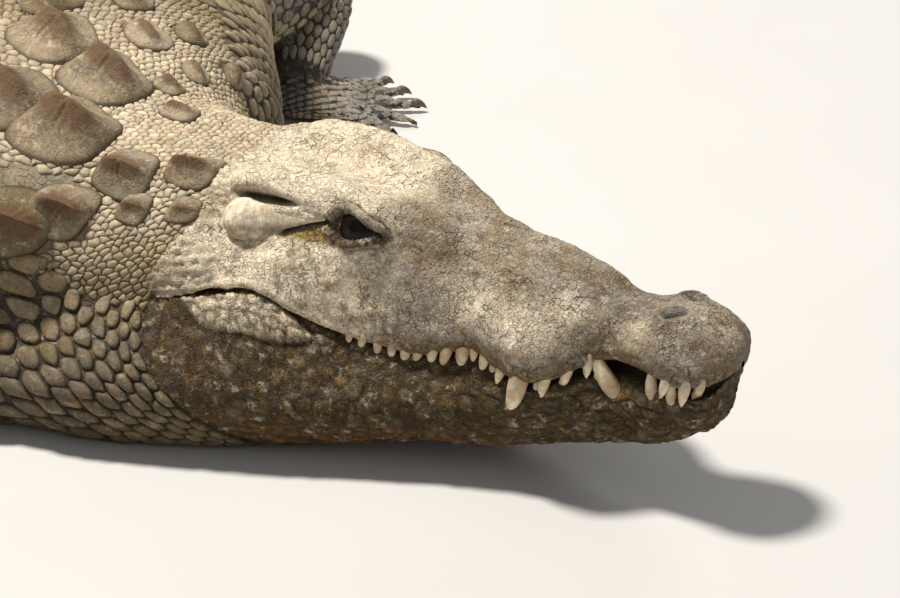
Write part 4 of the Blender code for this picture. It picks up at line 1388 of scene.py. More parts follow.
class Markings:
    """The pattern of colour over the whole animal, shared by hide and scales."""

    # painted highlights on the raised bosses of the snout, as pale spots: forward, up and size in head
    # lengths
    pale_spots = ((0.54, 0.37, 0.07), (0.63, 0.345, 0.05), (0.72, 0.39, 0.05), (0.84, 0.385, 0.03))

    def __init__(self) -> None:
        """Keep the colours as arrays."""
        self.hues = {name: np.array(value) for name, value in vars(Hues()).items()}

    def blend(self, hue: np.ndarray, *layers: tuple) -> np.ndarray:
        """Mix colours in, one after another.

        Args:
            hue: (n, 3) colours to start from.
            layers: A colour's name and its share, a number or (n,) of them, for each.

        Returns:
            (n, 3) linear colours.
        """
        for name, share in layers:
            hue = hue + (self.hues[name] - hue) * np.clip(share, 0, 1)[:, None]
        return hue

    def plain(self, name: str, count: int) -> np.ndarray:
        """One colour, as many times as there are places."""
        return np.tile(self.hues[name], (count, 1))

    def skull(self, straight: np.ndarray, above: np.ndarray, fine: np.ndarray) -> np.ndarray:
        """Colours of the head over the lip.

        Args:
            straight: (n, 3) places on the straight animal.
            above: (n,) from 0 on the lower jaw to 1 over the lip.
            fine: (n,) fine noise.

        Returns:
            (n, 3) linear colours.
        """
        forward, side, up = (straight / HEAD).T
        wide = rough_noise(straight, 0.060, 41)
        snout = ramp(forward, 0.28, 0.42)
        mauve = snout * (1 - ramp(up, 0.405, 0.44) * 0.30) * ramp(wide + 0.25 * fine, 0.22, 0.60)
        lip = hump(up, Table(UPPER_HEAD).at(forward)[:, 1], 0.026) * above
        flank = ramp(np.abs(side), 0.04, 0.10)
        # painted highlight: cream on the snout's bosses
        spots = [
            ("cream", hump(forward, ahead, size) * hump(up, height, 0.040) * flank * 0.85)
            for ahead, height, size in self.pale_spots
        ]
        return self.blend(
            self.plain("tan", len(straight)),
            ("cream", (0.90 - 0.42 * snout) * ramp(wide, 0.26, 0.54)),
            ("grey", mauve),
            ("brown", snout * 0.50 * patchy(straight, 0.035, 43, 0.46, 0.66)),
            ("grey", hump(forward, 0.34, 0.10) * hump(up, 0.385, 0.055) * 0.45 * ramp(fine, 0.34, 0.60)),
            ("cream", hump(forward, 0.12, 0.21) * hump(up, 0.385, 0.085) * 0.85),
            ("brown", 0.50 * patchy(straight, 0.009, 48, 0.58, 0.72) * ramp(-up, -0.47, -0.42)),
            *spots,
            ("brown", lip * snout * 0.80 * ramp(fine, 0.25, 0.50)),
        )

    def head(self, straight: np.ndarray, masks: dict) -> np.ndarray:
        """Colours of the head.

        Args:
            straight: (n, 3) places on the straight animal.
            masks: Named shares for the parts of the head.

        Returns:
            (n, 3) linear colours.
        """
        forward, _, up = (straight / HEAD).T
        fine = rough_noise(straight, 0.014, 42)
        low, pad, lids, above = (masks[name] for name in ("low", "pad", "lids", "above"))
        hue = self.skull(straight, 1 - low, fine)
        jaw = self.blend(
            self.plain("brown", len(straight)),
            ("olive", 0.5 * patchy(straight, 0.030, 44, 0.42, 0.66)),
            ("grey", 0.28 * patchy(straight, 0.014, 45, 0.54, 0.70)),
            ("tan", 0.30 * patchy(straight, 0.008, 46, 0.56, 0.72)),
            ("groove", 0.55 * (1 - patchy(straight, 0.009, 47, 0.30, 0.46))),
            ("rust", fade(up, 0.05, 0.12) * (0.50 + 0.4 * fine)),
        )
        hue = self.blend(
            hue + (jaw - hue) * low[:, None],
            ("cream", pad),
            ("pale", pad * (0.30 + 0.45 * ramp(fine, 0.45, 0.70))),
            ("tan", ramp(-forward, 0.02, 0.14) * 0.45),
            ("pale", orbit_grain(forward, up) * 0.9),
            ("lid", lids * above * 0.85),
            ("lid_low", lids * (1 - above) * 0.95),
            # painted shade: near black inside the opening between the lids
            ("groove", ramp(masks["eye"], -0.0006, 0.0014)),
            ("ear", masks["lower_ear"]),
            ("slate", 0.45 * masks["lower_ear"] * patchy(straight, 0.007, 49, 0.54, 0.66)),
            ("slate", masks["nostril"] * 1.6),
        )
        # the lower jaw, off the pad, is 38% darker: partly its own darker colour, partly painted shade under
        # the overhanging head
        return hue * (1 - 0.38 * low * (1 - pad))[:, None] * (0.82 + 0.36 * fine)[:, None]

    def body(self, straight: np.ndarray, around: np.ndarray) -> np.ndarray:
        """Colours of neck, trunk and tail.

        Args:
            straight: (n, 3) places on the straight animal.
            around: (n,) from -1 over the back, 0, to 1, both at the belly.

        Returns:
            (n, 3) linear colours.
        """
        arc = -straight[:, 0]
        share = 1 - np.abs(around)
        wide = rough_noise(straight, 0.070, 51)
        fine = rough_noise(straight, 0.016, 52)
        trunk = ramp(arc, 0.22, 0.45)
        nape = ramp(share, 0.60, 0.86) * fade(arc, 0.16, 0.40)
        bands = 0.5 + 0.5 * np.cos((arc + 0.02 * np.sin(around * 9)) / 0.135 * 2 * math.pi)
        banded = ramp(bands, 0.55, 0.85) * ramp(arc, 0.55, 0.75) * ramp(share, 0.30, 0.55)
        hue = self.blend(
            self.plain("olive", len(straight)),
            ("tan", 0.30 * trunk + (0.30 + 0.05 * trunk) * ramp(wide, 0.36, 0.62)),
            ("grey", (0.35 + 0.15 * trunk) * patchy(straight, 0.09, 53, 0.46, 0.64)),
            ("cream", nape * (0.34 + 0.34 * fine)),
            ("rust", nape * 0.22 * patchy(straight, 0.020, 54, 0.50, 0.70)),
            ("slate", banded * ramp(wide, 0.30, 0.45) * 0.62),
            ("pale", fade(share, 0.16, 0.36) * 0.85 * ramp(arc, 0.10, 0.35)),
        )
        # painted shade: the lower sides of the neck are half as bright
        shade = 0.50 * fade(share, 0.50, 0.66) * fade(arc, 0.20, 0.45)
        return hue * ((0.82 + 0.36 * fine) * (1 - shade))[:, None]

    def limb(self, places: np.ndarray, under: np.ndarray) -> np.ndarray:
        """Colours of the legs.

        Args:
            places: (n, 3) world places.
            under: (n,) from 0 on top to 1 beneath.

        Returns:
            (n, 3) linear colours.
        """
        hue = self.blend(
            self.plain("grey", len(places)) * 0.95,
            ("slate", 0.7 * patchy(places, 0.050, 61, 0.42, 0.60)),
            ("olive", 0.5 * patchy(places, 0.03, 63, 0.48, 0.66)),
            ("pale", under * 0.6),
        )
        return hue * (0.84 + 0.32 * rough_noise(places, 0.014, 62))[:, None]


# ---------------------------------------------------------------- the coat of scales
@dataclass
class Patch:
    """A part of the body's surface that scales are laid on.

    Places on it are given by two numbers from 0 to 1, along it and round it.
    """

    table: np.ndarray
    atlas: tuple[float, float, float, float]

    def place(self, along_it: np.ndarray, round_it: np.ndarray) -> np.ndarray:
        """World places on the patch.

        Args:
            along_it: (n,) shares along the patch.
            round_it: (n,) shares round it.

        Returns:
            (n, 3) places.
        """
        rows, columns = self.table.shape[:2]
        row = np.clip(along_it, 0, 1) * (rows - 1.0001)
        column = np.clip(round_it, 0, 1) * (columns - 1.0001)
        i, j = row.astype(int), column.astype(int)
        a, b = (row - i)[..., None], (column - j)[..., None]
        low = self.table[i, j] * (1 - b) + self.table[i, j + 1] * b
        high = self.table[i + 1, j] * (1 - b) + self.table[i + 1, j + 1] * b
        return low * (1 - a) + high * a

    def normal(self, along_it: np.ndarray, round_it: np.ndarray) -> np.ndarray:
        """Outward directions on the patch.

        Args:
            along_it: (n,) shares along the patch.
            round_it: (n,) shares round it.

        Returns:
            (n, 3) unit normals.
        """
        step = 0.004
        ahead = self.place(along_it + step, round_it) - self.place(along_it - step, round_it)
        beside = self.place(along_it, round_it + step) - self.place(along_it, round_it - step)
        normal = np.cross(beside, ahead)
        return unit(normal)

    def unwrap(self, along_it: np.ndarray, round_it: np.ndarray) -> np.ndarray:
        """Places on the unwrap of the skin's own shape.

        Args:
            along_it: (n,) shares along the patch.
            round_it: (n,) shares round it.

        Returns:
            (n, 2) places on the unwrap.
        """
        left, bottom, right, top = self.atlas
        return np.stack([left + (right - left) * np.clip(along_it, 0, 1),
                         bottom + (top - bottom) * np.clip(round_it, 0, 1)], axis=-1)


class ScaleShape:
    """One scale as a small dome of a few rings, made once and laid many times."""

    def __init__(self, sides: int, rings: tuple) -> None:
        """Build the shape.

        Args:
            sides: How many points its outline has.
            rings: Share of the outline's size and share of the full height of every ring.
        """
        bm = bmesh.new()
        bmesh.ops.create_circle(bm, cap_ends=True, segments=sides, radius=1.0)
        flat = math.cos(math.pi / sides)
        for outer, inner in zip(rings, rings[1:]):
            thickness = (outer[0] - inner[0]) * flat
            bmesh.ops.inset_individual(bm, faces=[self.cap(bm)], thickness=thickness, use_even_offset=True)
        bmesh.ops.poke(bm, faces=[self.cap(bm)])
        face_outwards(bm)
        if sum(face.normal.z for face in bm.faces) < 0:
            bmesh.ops.reverse_faces(bm, faces=bm.faces[:])
        bm.verts.index_update()
        self.flat = places_of(bm)[:, :2]
        self.reach = np.linalg.norm(self.flat, axis=1)
        angle = np.arctan2(self.flat[:, 1], self.flat[:, 0]) / (2 * math.pi) * sides
        self.spoke = np.rint(angle).astype(int) % sides
        shares = np.array(rings)
        order = np.argsort(shares[:, 0])
        self.lift = np.interp(self.reach, np.r_[0, shares[order, 0]], np.r_[1.0, shares[order, 1]])
        self.starts = np.cumsum([0] + [len(face.verts) for face in bm.faces])[:-1]
        self.corners = np.array([vert.index for face in bm.faces for vert in face.verts])
        self.sides = sides
        bm.free()

    def cap(self, bm: bmesh.types.BMesh) -> bmesh.types.BMFace:
        """The smallest face about the middle."""
        about = [face for face in bm.faces if face.calc_center_median().length < 1e-4]
        return min(about, key=lambda face: face.calc_area())


def shaped(sides: int, *rings: tuple) -> ScaleShape:
    """A dataclass field that holds one shape of scale."""
    return field(default_factory=lambda: ScaleShape(sides, rings))


@dataclass
class Laying:
    """Many scales ready to be laid on one patch."""

    patch: Patch
    centres: np.ndarray
    outlines: np.ndarray
    height: np.ndarray
    hue: np.ndarray
    keel: np.ndarray
    seed: int = 1
    rear: float = 0.35
    tent: bool = False


class Coat:
    """A coat of scales over the hide, gathered into one mesh."""

    ABOVE = 0.022      # how far over a scale's place the search for the hide starts
    SEARCH = 0.050     # how far it goes
    HIGHEST = 0.0045   # a scale whose hide lies further out than this is left out
    DEEPEST = -0.014   # and so is one whose hide lies deeper
    FOOT = 0.0007      # how far a scale's rim is sunk
    TUFT = 0.0015      # size of a scale on the unwrap

    def __init__(self, shape: ScaleShape, hide: BVHTree) -> None:
        """Start an empty coat.

        Args:
            shape: The shape of every scale in it.
            hide: The hide that the scales lie on.
        """
        self.shape = shape
        self.hide = hide
        self.parts: list[dict] = []

    def lay(self, given: Laying) -> None:
        """Set scales on the hide and leave out those that would hang in the air or be buried.

        Args:
            given: The scales and the patch they are laid on.
        """
        shape = self.shape
        root = given.patch.place(given.centres[:, 0], given.centres[:, 1])
        normal = given.patch.normal(given.centres[:, 0], given.centres[:, 1])
        shift = np.full(len(root), np.nan)
        for k, (place, out) in enumerate(zip(root, normal)):
            hit = self.hide.ray_cast(Vector(place + out * self.ABOVE), Vector(-out), self.SEARCH)
            if hit[0] is not None:
                shift[k] = self.ABOVE - hit[3]
        keep = (shift < self.HIGHEST) & (shift > self.DEEPEST)
        root, normal, shift = root[keep], normal[keep], shift[keep]
        centres, outlines = given.centres[keep], given.outlines[keep]
        toward = outlines[:, shape.spoke] - centres[:, None]
        spots = centres[:, None] + toward * shape.reach[None, :, None]
        places = given.patch.place(spots[..., 0], spots[..., 1])
        lift = shape.lift[None] * given.height[keep][:, None] - self.FOOT * (shape.reach[None] > 0.99)
        along_it, beside = shape.flat[:, 0], shape.flat[:, 1]
        ridge = hump(beside, 0, 0.30) * (1 - np.clip(np.abs(along_it - given.rear * 0.5) / 0.95, 0, 1) ** 2.2)
        ridge = ridge * fade(shape.reach, 0.72, 0.99)
        groove = np.zeros(len(shape.reach))
        if given.tent:
            rise = 1 - np.clip(np.abs(along_it - 0.22) / np.where(along_it > 0.22, 0.74, 1.16), 0, 1) ** 2.4
            ridge = np.clip(1 - np.abs(beside) / 0.95, 0, 1) ** 1.9 * rise
            ribs = np.sin(along_it / 0.17 * 2 * math.pi + 2.0 * np.sin(beside * 5)) * rise
            ribs = ribs * hump(np.abs(beside), 0.20, 0.26) * fade(shape.reach, 0.70, 0.95)
            groove = np.maximum(-ribs, 0)
            lift = lift + ribs[None] * np.minimum(given.keel[keep] * 0.040, 0.0011)[:, None]
        rough = scatter(np.c_[np.arange(len(root)), np.full(len(root), given.seed)], given.seed)
        lift = lift * (0.85 + 0.30 * rough[:, 1:2]) + ridge[None] * given.keel[keep][:, None]
        places = places + normal[:, None] * (shift[:, None] + lift)[..., None]
        places[..., 2] = np.maximum(places[..., 2], 0.0003)
        rim = ramp(shape.reach, 0.84, 0.99)
        tint = 0.88 + 0.24 * rough[:, :1]
        hue = given.hue[keep] * tint
        angle = 2 * math.pi * shape.spoke / shape.sides
        tuft = self.TUFT * shape.reach[:, None] * np.stack([np.cos(angle), np.sin(angle)], axis=1)
        unwrapped = given.patch.unwrap(centres[:, 0], centres[:, 1])[:, None] + tuft[None]
        # painted shade: darker at each scale's rim and in the troughs between a plate's ribs
        dark = np.maximum(rim * 0.85, groove * 0.75)
        self.parts.append({
            "places": places, "unwrap": unwrapped,
            "hue": np.repeat(hue[:, None], len(shape.reach), axis=1),
            "crack_and_shade": np.repeat(dark[None], len(root), axis=0),
            "keel": ridge[None] * np.minimum(given.keel[keep] / 0.006, 1)[:, None],
        })

    def count(self) -> int:
        """How many scales it has so far."""
        return sum(len(part["places"]) for part in self.parts)

    def mesh(self, name: str) -> bpy.types.Mesh:
        """Join every scale into one mesh with its colours and its unwrap.

        Args:
            name: The mesh's name.

        Returns:
            The mesh in world places.
        """
        shape = self.shape
        whole = {key: np.concatenate([part[key] for part in self.parts]) for key in self.parts[0]}
        total, size = whole["places"].shape[:2]
        mesh = bpy.data.meshes.new(name)
        mesh.vertices.add(total * size)
        mesh.vertices.foreach_set("co", whole["places"].reshape(-1).astype(np.float32))
        corners = (shape.corners[None] + np.arange(total)[:, None] * size).reshape(-1)
        mesh.loops.add(len(corners))
        mesh.loops.foreach_set("vertex_index", corners.astype(np.int32))
        starts = (shape.starts[None] + np.arange(total)[:, None] * len(shape.corners)).reshape(-1)
        mesh.polygons.add(len(starts))
        mesh.polygons.foreach_set("loop_start", starts.astype(np.int32))
        mesh.update(calc_edges=True)
        mesh.validate()
        paint(mesh, "hue", whole["hue"].reshape(-1, 3))
        for key in ("crack_and_shade", "keel"):
            paint(mesh, key, whole[key].reshape(-1))
        layer = mesh.uv_layers.new(name="OFBake")
        unwrap = whole["unwrap"].reshape(-1, 2)[corners].reshape(-1)
        layer.data.foreach_set("uv", unwrap.astype(np.float32))
        mesh.shade_smooth()
        return mesh


EVEN = Table(((0.0, 0.0), (1.0, 0.0)))   # scales with slanting sides all round
BOXY = Table(((0.0, 1.0), (1.0, 1.0)))   # oblong scales all round


@dataclass
class Rows:
    """Staggered rows of scales over part of a patch.

    The rows' edges are shares along the patch. Each row holds the same number of scales
    round it, and neighbours share their corners, so that their outlines fit together.
    """

    edges: np.ndarray
    columns: int
    stagger: float = 0.17
    jitter: float = 0.10
    sides: int = 12
    seed: int = 1
    spread: tuple[float, float] = (0.0, 1.0)
    fill: float = 0.96

    def corner(self, row: np.ndarray, column: np.ndarray, stagger: np.ndarray) -> np.ndarray:
        """Corners of the lattice.

        Args:
            row: (n,) numbers of edges.
            column: (n,) numbers of half columns.
            stagger: (n,) shares of a row that the corners are set back and forth.

        Returns:
            (n, 2) shares along and round the patch.
        """
        edges = self.edges
        safe = np.clip(row, 0, len(edges) - 1)
        pitch = np.gradient(edges)[safe]
        sign = np.where((row + column) % 2 == 0, 1, -1)
        random = scatter(np.stack([row, column % (2 * self.columns)], axis=1), self.seed)
        random = random - 0.5
        low, high = self.spread
        ahead = edges[safe] + pitch * (sign * stagger + random[:, 0] * 2 * self.jitter)
        beside = (column + random[:, 1] * 2 * self.jitter * 1.6) / (2 * self.columns)
        return np.stack([ahead, low + (high - low) * beside], axis=-1)

    def cells(self, boxy: Table = EVEN) -> tuple[np.ndarray, np.ndarray]:
        """Centres and outlines of every scale.

        Args:
            boxy: How square the scales are by share round the patch, from 0 to 1.

        Returns:
            (n, 2) centres and (n, sides, 2) outlines.
        """
        rows = len(self.edges) - 1
        i, j = np.divmod(np.arange(rows * self.columns), self.columns)
        first = 2 * j + i % 2
        offsets = ((1, 1), (1, 2), (0, 2), (0, 1), (0, 0), (1, 0))
        corners = []
        for up, over in offsets:
            column = first + over
            square = boxy.at(column / (2 * self.columns))[:, 0]
            corners.append(self.corner(i + up, column, self.stagger * (1 - square)))
        corners = np.stack(corners, axis=1)
        following = np.roll(corners, -1, axis=1)
        if self.sides == 12:
            outline = np.stack([corners * 0.80 + following * 0.20, corners * 0.20 + following * 0.80], axis=2)
            outline = outline.reshape(len(i), 12, 2)
        else:
            outline = corners
        centre = outline.mean(axis=1)
        outline = centre[:, None] + (outline - centre[:, None]) * self.fill
        turned = np.roll(outline, 3 if self.sides == 12 else 1, axis=1)
        return centre, turned[:, ::-1]


def row_edges(first: float, last: float, pitch: tuple) -> np.ndarray:
    """Places of rows whose spacing changes along the way.

    Args:
        first: Where the first row starts.
        last: Where the last row ends at the latest.
        pitch: (place, spacing) rows.

    Returns:
        Increasing places.
    """
    table = Table(pitch)
    edges = [first]
    while (following := edges[-1] + float(table.at(edges[-1])[0, 0])) < last:
        edges.append(following)
    return np.array(edges)


@dataclass
class ScaleCoats:
    """All the scales of neck, trunk, tail and legs."""

    form: BodyForm
    markings: Markings
    hide: BVHTree
    domed: ScaleShape = shaped(12, (1.0, 0.0), (0.94, 0.36), (0.80, 0.72), (0.52, 0.94))
    pebble: ScaleShape = shaped(12, (1.0, 0.0), (0.76, 0.74))
    bead: ScaleShape = shaped(6, (1.0, 0.0), (0.84, 0.66), (0.48, 0.95))
    plate: ScaleShape = shaped(
        12, (1.0, 0.0), (0.94, 0.34), (0.85, 0.72), (0.70, 0.88), (0.52, 0.95), (0.34, 0.98), (0.18, 1.0)
    )

    def __post_init__(self) -> None:
        """Lay out the body's patch."""
        arcs = np.arange(0, TAIL_TIP, 0.006)
        self.straight = self.form.skin(arcs, np.linspace(-1, 1, 241))
        self.patch = Patch(bent(self.straight), (0.02, 0.02, 0.98, 0.60))
        self.flat_patch = Patch(self.straight, (0, 0, 1, 1))
        self.length = arcs[-1]

    def lay_body(self, coat: Coat, rows: Rows, height: float, keep: Callable | None = None,
                 boxy: Table = EVEN, keel: Callable | None = None, seed: int = 1) -> None:
        """Lay rows of scales on the body.

        Args:
            coat: The coat that they join.
            rows: The rows, with edges in metres of arc.
            height: Height of a scale of common size.
            keep: Takes arcs and shares round, and says which scales stay.
            boxy: How square the scales are by share round the patch.
            keel: Takes arcs and gives each keel's height.
            seed: Picks the random tint.
        """
        centres, outlines = replace(rows, edges=rows.edges / self.length).cells(boxy)
        arc, around = centres[:, 0] * self.length, centres[:, 1] * 2 - 1
        chosen = (centres[:, 1] > 0) & (centres[:, 1] < 1)
        if keep is not None:
            chosen &= keep(arc, around)
        centres, outlines, arc, around = (given[chosen] for given in (centres, outlines, arc, around))
        straight = self.flat_patch.place(*centres.T)
        hue = self.markings.body(straight, around)
        tall = height * (1 - 0.65 * ramp(arc, 1.6, 2.5))
        keels = keel(arc) if keel is not None else np.zeros(len(arc))
        coat.lay(Laying(self.patch, centres, outlines, tall, hue, keels, seed))

    def spot(self, arc: float, side: float) -> tuple[float, float]:
        """Where a place on the body lies on the patch.

        Args:
            arc: Arc length.
            side: Distance to the left of the back's midline.

        Returns:
            The arc on the patch and the share round it.
        """
        start, share = arc, 0.5
        for _ in range(12):
            share = self.share_of(max(start, 0.0), side)
            lean = CREASE.at(1 - abs(2 * share - 1))[0, 0]
            start = arc - float(lean * fade(start, 0.0, NECK_FADE))
        return max(start, 0.0), share

    def share_of(self, arc: float, side: float) -> float:
        """Share round the body's patch at a distance to the left of the back's midline.

        Args:
            arc: Arc length behind the skull table.
            side: The distance in metres.

        Returns:
            A share, 0.5 on the back's midline.
        """
        around = np.linspace(0.5, 0.8, 120)
        straight = self.flat_patch.place(np.full(120, arc / self.length), around)
        share = float(np.interp(abs(side), straight[:, 1], around))
        return share if side >= 0 else 1 - share

    def under(self, mesh: bpy.types.Mesh) -> np.ndarray:
        """Colours of the hide between the scales, from the same markings but darker: painted shade in the
        gaps between the scales, less on the nape.

        Args:
            mesh: The hide of the body.

        Returns:
            (n, 3) linear colours.
        """
        rows, columns = self.patch.table.shape[:2]
        tree = KDTree(rows * columns)
        for k, place in enumerate(self.patch.table.reshape(-1, 3)):
            tree.insert(place, k)
        tree.balance()
        places = np.empty(len(mesh.vertices) * 3, np.float32)
        mesh.vertices.foreach_get("co", places)
        places = places.reshape(-1, 3)
        index, away = (np.array(entry) for entry in zip(*(tree.find(place)[1:] for place in places)))
        around = np.linspace(-1, 1, columns)[index % columns]
        straight = self.straight.reshape(-1, 3)[index]
        hue = self.markings.body(straight, around)
        limb = self.markings.limb(places.astype(float), np.zeros(len(places)))
        hue += (limb - hue) * ramp(away, 0.010, 0.030)[:, None]
        # painted shade: the hide between the scales at 30% brightness, 62% on the nape
        bare = ramp(1 - np.abs(around), 0.60, 0.72) * fade(-straight[:, 0], 0.25, 0.40)
        return hue * (0.30 + 0.32 * bare)[:, None]

    def neck(self) -> Coat:
        """Rounded scales of the neck's sides and squarer ones beneath it.

        Returns:
            The coat.
        """
        coat = Coat(self.domed, self.hide)
        edges = row_edges(0.000, 0.40, (
            (-0.1, 0.008), (0, 0.0085), (0.03, 0.0115), (0.07, 0.0165), (0.12, 0.0195), (0.5, 0.021),
        ))
        boxy = Table((
            (0.0, 0.9), (0.14, 0.9), (0.24, 0.55), (0.5, 0.2), (0.76, 0.55), (0.86, 0.9), (1.0, 0.9),
        ))
        rows = Rows(edges, 52, stagger=0.20, jitter=0.13, seed=71, fill=0.92)
        self.lay_body(coat, rows, COAT * 1.25, self.beside_nape, boxy, seed=1)
        return coat

    def beside_nape(self, arc: np.ndarray, around: np.ndarray) -> np.ndarray:
        """Scales of the neck outside the finer scales of the nape.

        Args:
            arc: (n,) arc lengths behind the skull table.
            around: (n,) from -1, the belly by the right, over 0, the back, to 1.

        Returns:
            (n,) truth values.
        """
        share = 1 - np.abs(around)
        limit = 0.62 + 0.07 * ramp(arc, 0.02, 0.16)
        return (share < limit) & (arc < NECK_END)

    def nape(self) -> Coat:
        """Fine scales over the nape, between the raised plates.

        Returns:
            The coat.
        """
        coat = Coat(self.pebble, self.hide)
        edges = row_edges(0.0, 0.40, (
            (-0.1, 0.0056), (0.05, 0.0060), (0.12, 0.0072), (0.20, 0.0088), (0.5, 0.010),
        ))
        rows = Rows(edges, 136, stagger=0.20, jitter=0.36, seed=72, fill=1.02)
        plates = NeckPlates(self)
        self.lay_body(coat, rows, COAT * 0.62, lambda arc, around: (
            ~self.beside_nape(arc, around) & (arc < NECK_END) & ~plates.under(arc, around)), seed=2)
        return coat

    def trunk(self, first: float, last: float, seed: int) -> Coat:
        """Scales of the flanks and belly over a length of the trunk.

        Args:
            first: Arc length of the first row.
            last: Arc length of the last.
            seed: Picks the rows' unevenness.

        Returns:
            The coat.
        """
        coat = Coat(self.domed, self.hide)
        edges = row_edges(first, last, ((0.3, 0.021), (0.7, 0.0225), (1.15, 0.0225)))
        boxy = Table(((0.0, 1.0), (0.15, 1.0), (0.22, 0.1), (0.5, 0.0), (0.78, 0.1), (0.85, 1.0), (1.0, 1.0)))
        rows = Rows(edges, 44, stagger=0.20, jitter=0.12, seed=seed)
        self.lay_body(coat, rows, COAT * 0.9, lambda arc, around: 1 - np.abs(around) < 0.70, boxy, seed=seed)
        return coat

    def dorsal(self) -> Coat:
        """The keeled plates along the back.

        Returns:
            The coat.
        """
        coat = Coat(self.plate, self.hide)
        edges = row_edges(NECK_END, 1.14, ((0.3, 0.040), (0.7, 0.041), (1.15, 0.036)))
        for side in (-1, 1):
            rows = Rows(edges, 4, stagger=0.05, jitter=0.03, seed=75 + side, spread=(0.5, 0.5 + side * 0.155))
            self.lay_body(coat, rows, 0.0034, seed=5 + side,
                          keel=lambda arc: 0.0058 + 0.0012 * np.abs(np.sin(arc * 90)))
        return coat

    def tail(self) -> Coat:
        """Whorls of oblong scales round the tail.

        Returns:
            The coat.
        """
        coat = Coat(self.domed, self.hide)
        edges = row_edges(1.10, 2.535, ((1.1, 0.024), (1.7, 0.0235), (2.2, 0.018), (2.5, 0.011)))
        rows = Rows(edges, 24, stagger=0.0, jitter=0.05, seed=77)
        self.lay_body(coat, rows, COAT * 0.9, boxy=BOXY, seed=7)
        return coat

    def leg_patch(self, limb: Limb, table: np.ndarray, index: int) -> Patch:
        """The patch of a tube of a leg, with a place of its own on the unwrap.

        Args:
            limb: The leg. Not used.
            table: (rings, around, 3) world places of the tube.
            index: The tube's number, which picks its place on the unwrap.

        Returns:
            The patch.
        """
        column, row = index % 12, index // 12
        left, bottom = 0.02 + column * 0.081, 0.63 + row * 0.12
        return Patch(table, (left, bottom, left + 0.076, bottom + 0.11))

    def legs(self) -> tuple[Coat, Coat]:
        """Scales of the legs, and the finer ones of feet and digits.

        Returns:
            The coat of the legs and that of feet and digits.
        """
        large, small = Coat(self.domed, self.hide), Coat(self.bead, self.hide)
        index = 0   # counts the tubes, for their places on the unwrap and their seeds
        for limb in LIMBS:
            tubes = [
                (limb.leg(), 0.0135, large, COAT * 0.85, 0.10), (limb.sole(), 0.0080, small, 0.0016, 0.10),
                *((limb.digit(k), 0.0085, small, 0.0013, 0.05) for k in range(limb.digits)),
            ]
            for table, size, coat, height, jitter in tubes:
                patch = self.leg_patch(limb, table, index)
                index += 1
                length = length_of(table.mean(axis=1))
                girth = np.linalg.norm(np.diff(table, axis=1), axis=2).sum(axis=1).mean()
                count = max(int(length / size), 3)
                columns = max(int(girth / (size * 0.95)), 6)
                edges = np.linspace(0.02, 0.98, count + 1)
                rows = Rows(
                    edges, columns, stagger=0.20, jitter=jitter, sides=coat.shape.sides, seed=80 + index
                )
                centres, outlines = rows.cells()
                world = patch.place(*centres.T)
                under = fade(patch.normal(*centres.T)[:, 2], -0.6, -0.1)
                hue = self.markings.limb(world, under)
                tall = np.full(len(world), height)
                coat.lay(Laying(patch, centres, outlines, tall, hue, np.zeros(len(world)), 90 + index))
        return large, small


# ---------------------------------------------------------------- plates, crest, eyes, ears, teeth and claws
class PlateKind(Enum):
    """How a single plate of the neck is shaped."""

    KEELED = "keeled"
    FLAT = "flat"


@dataclass(frozen=True)
class NeckPlate:
    """One raised plate behind the skull."""

    arc: float
    across: float
    length: float
    width: float
    keel: float
    kind: PlateKind = PlateKind.KEELED


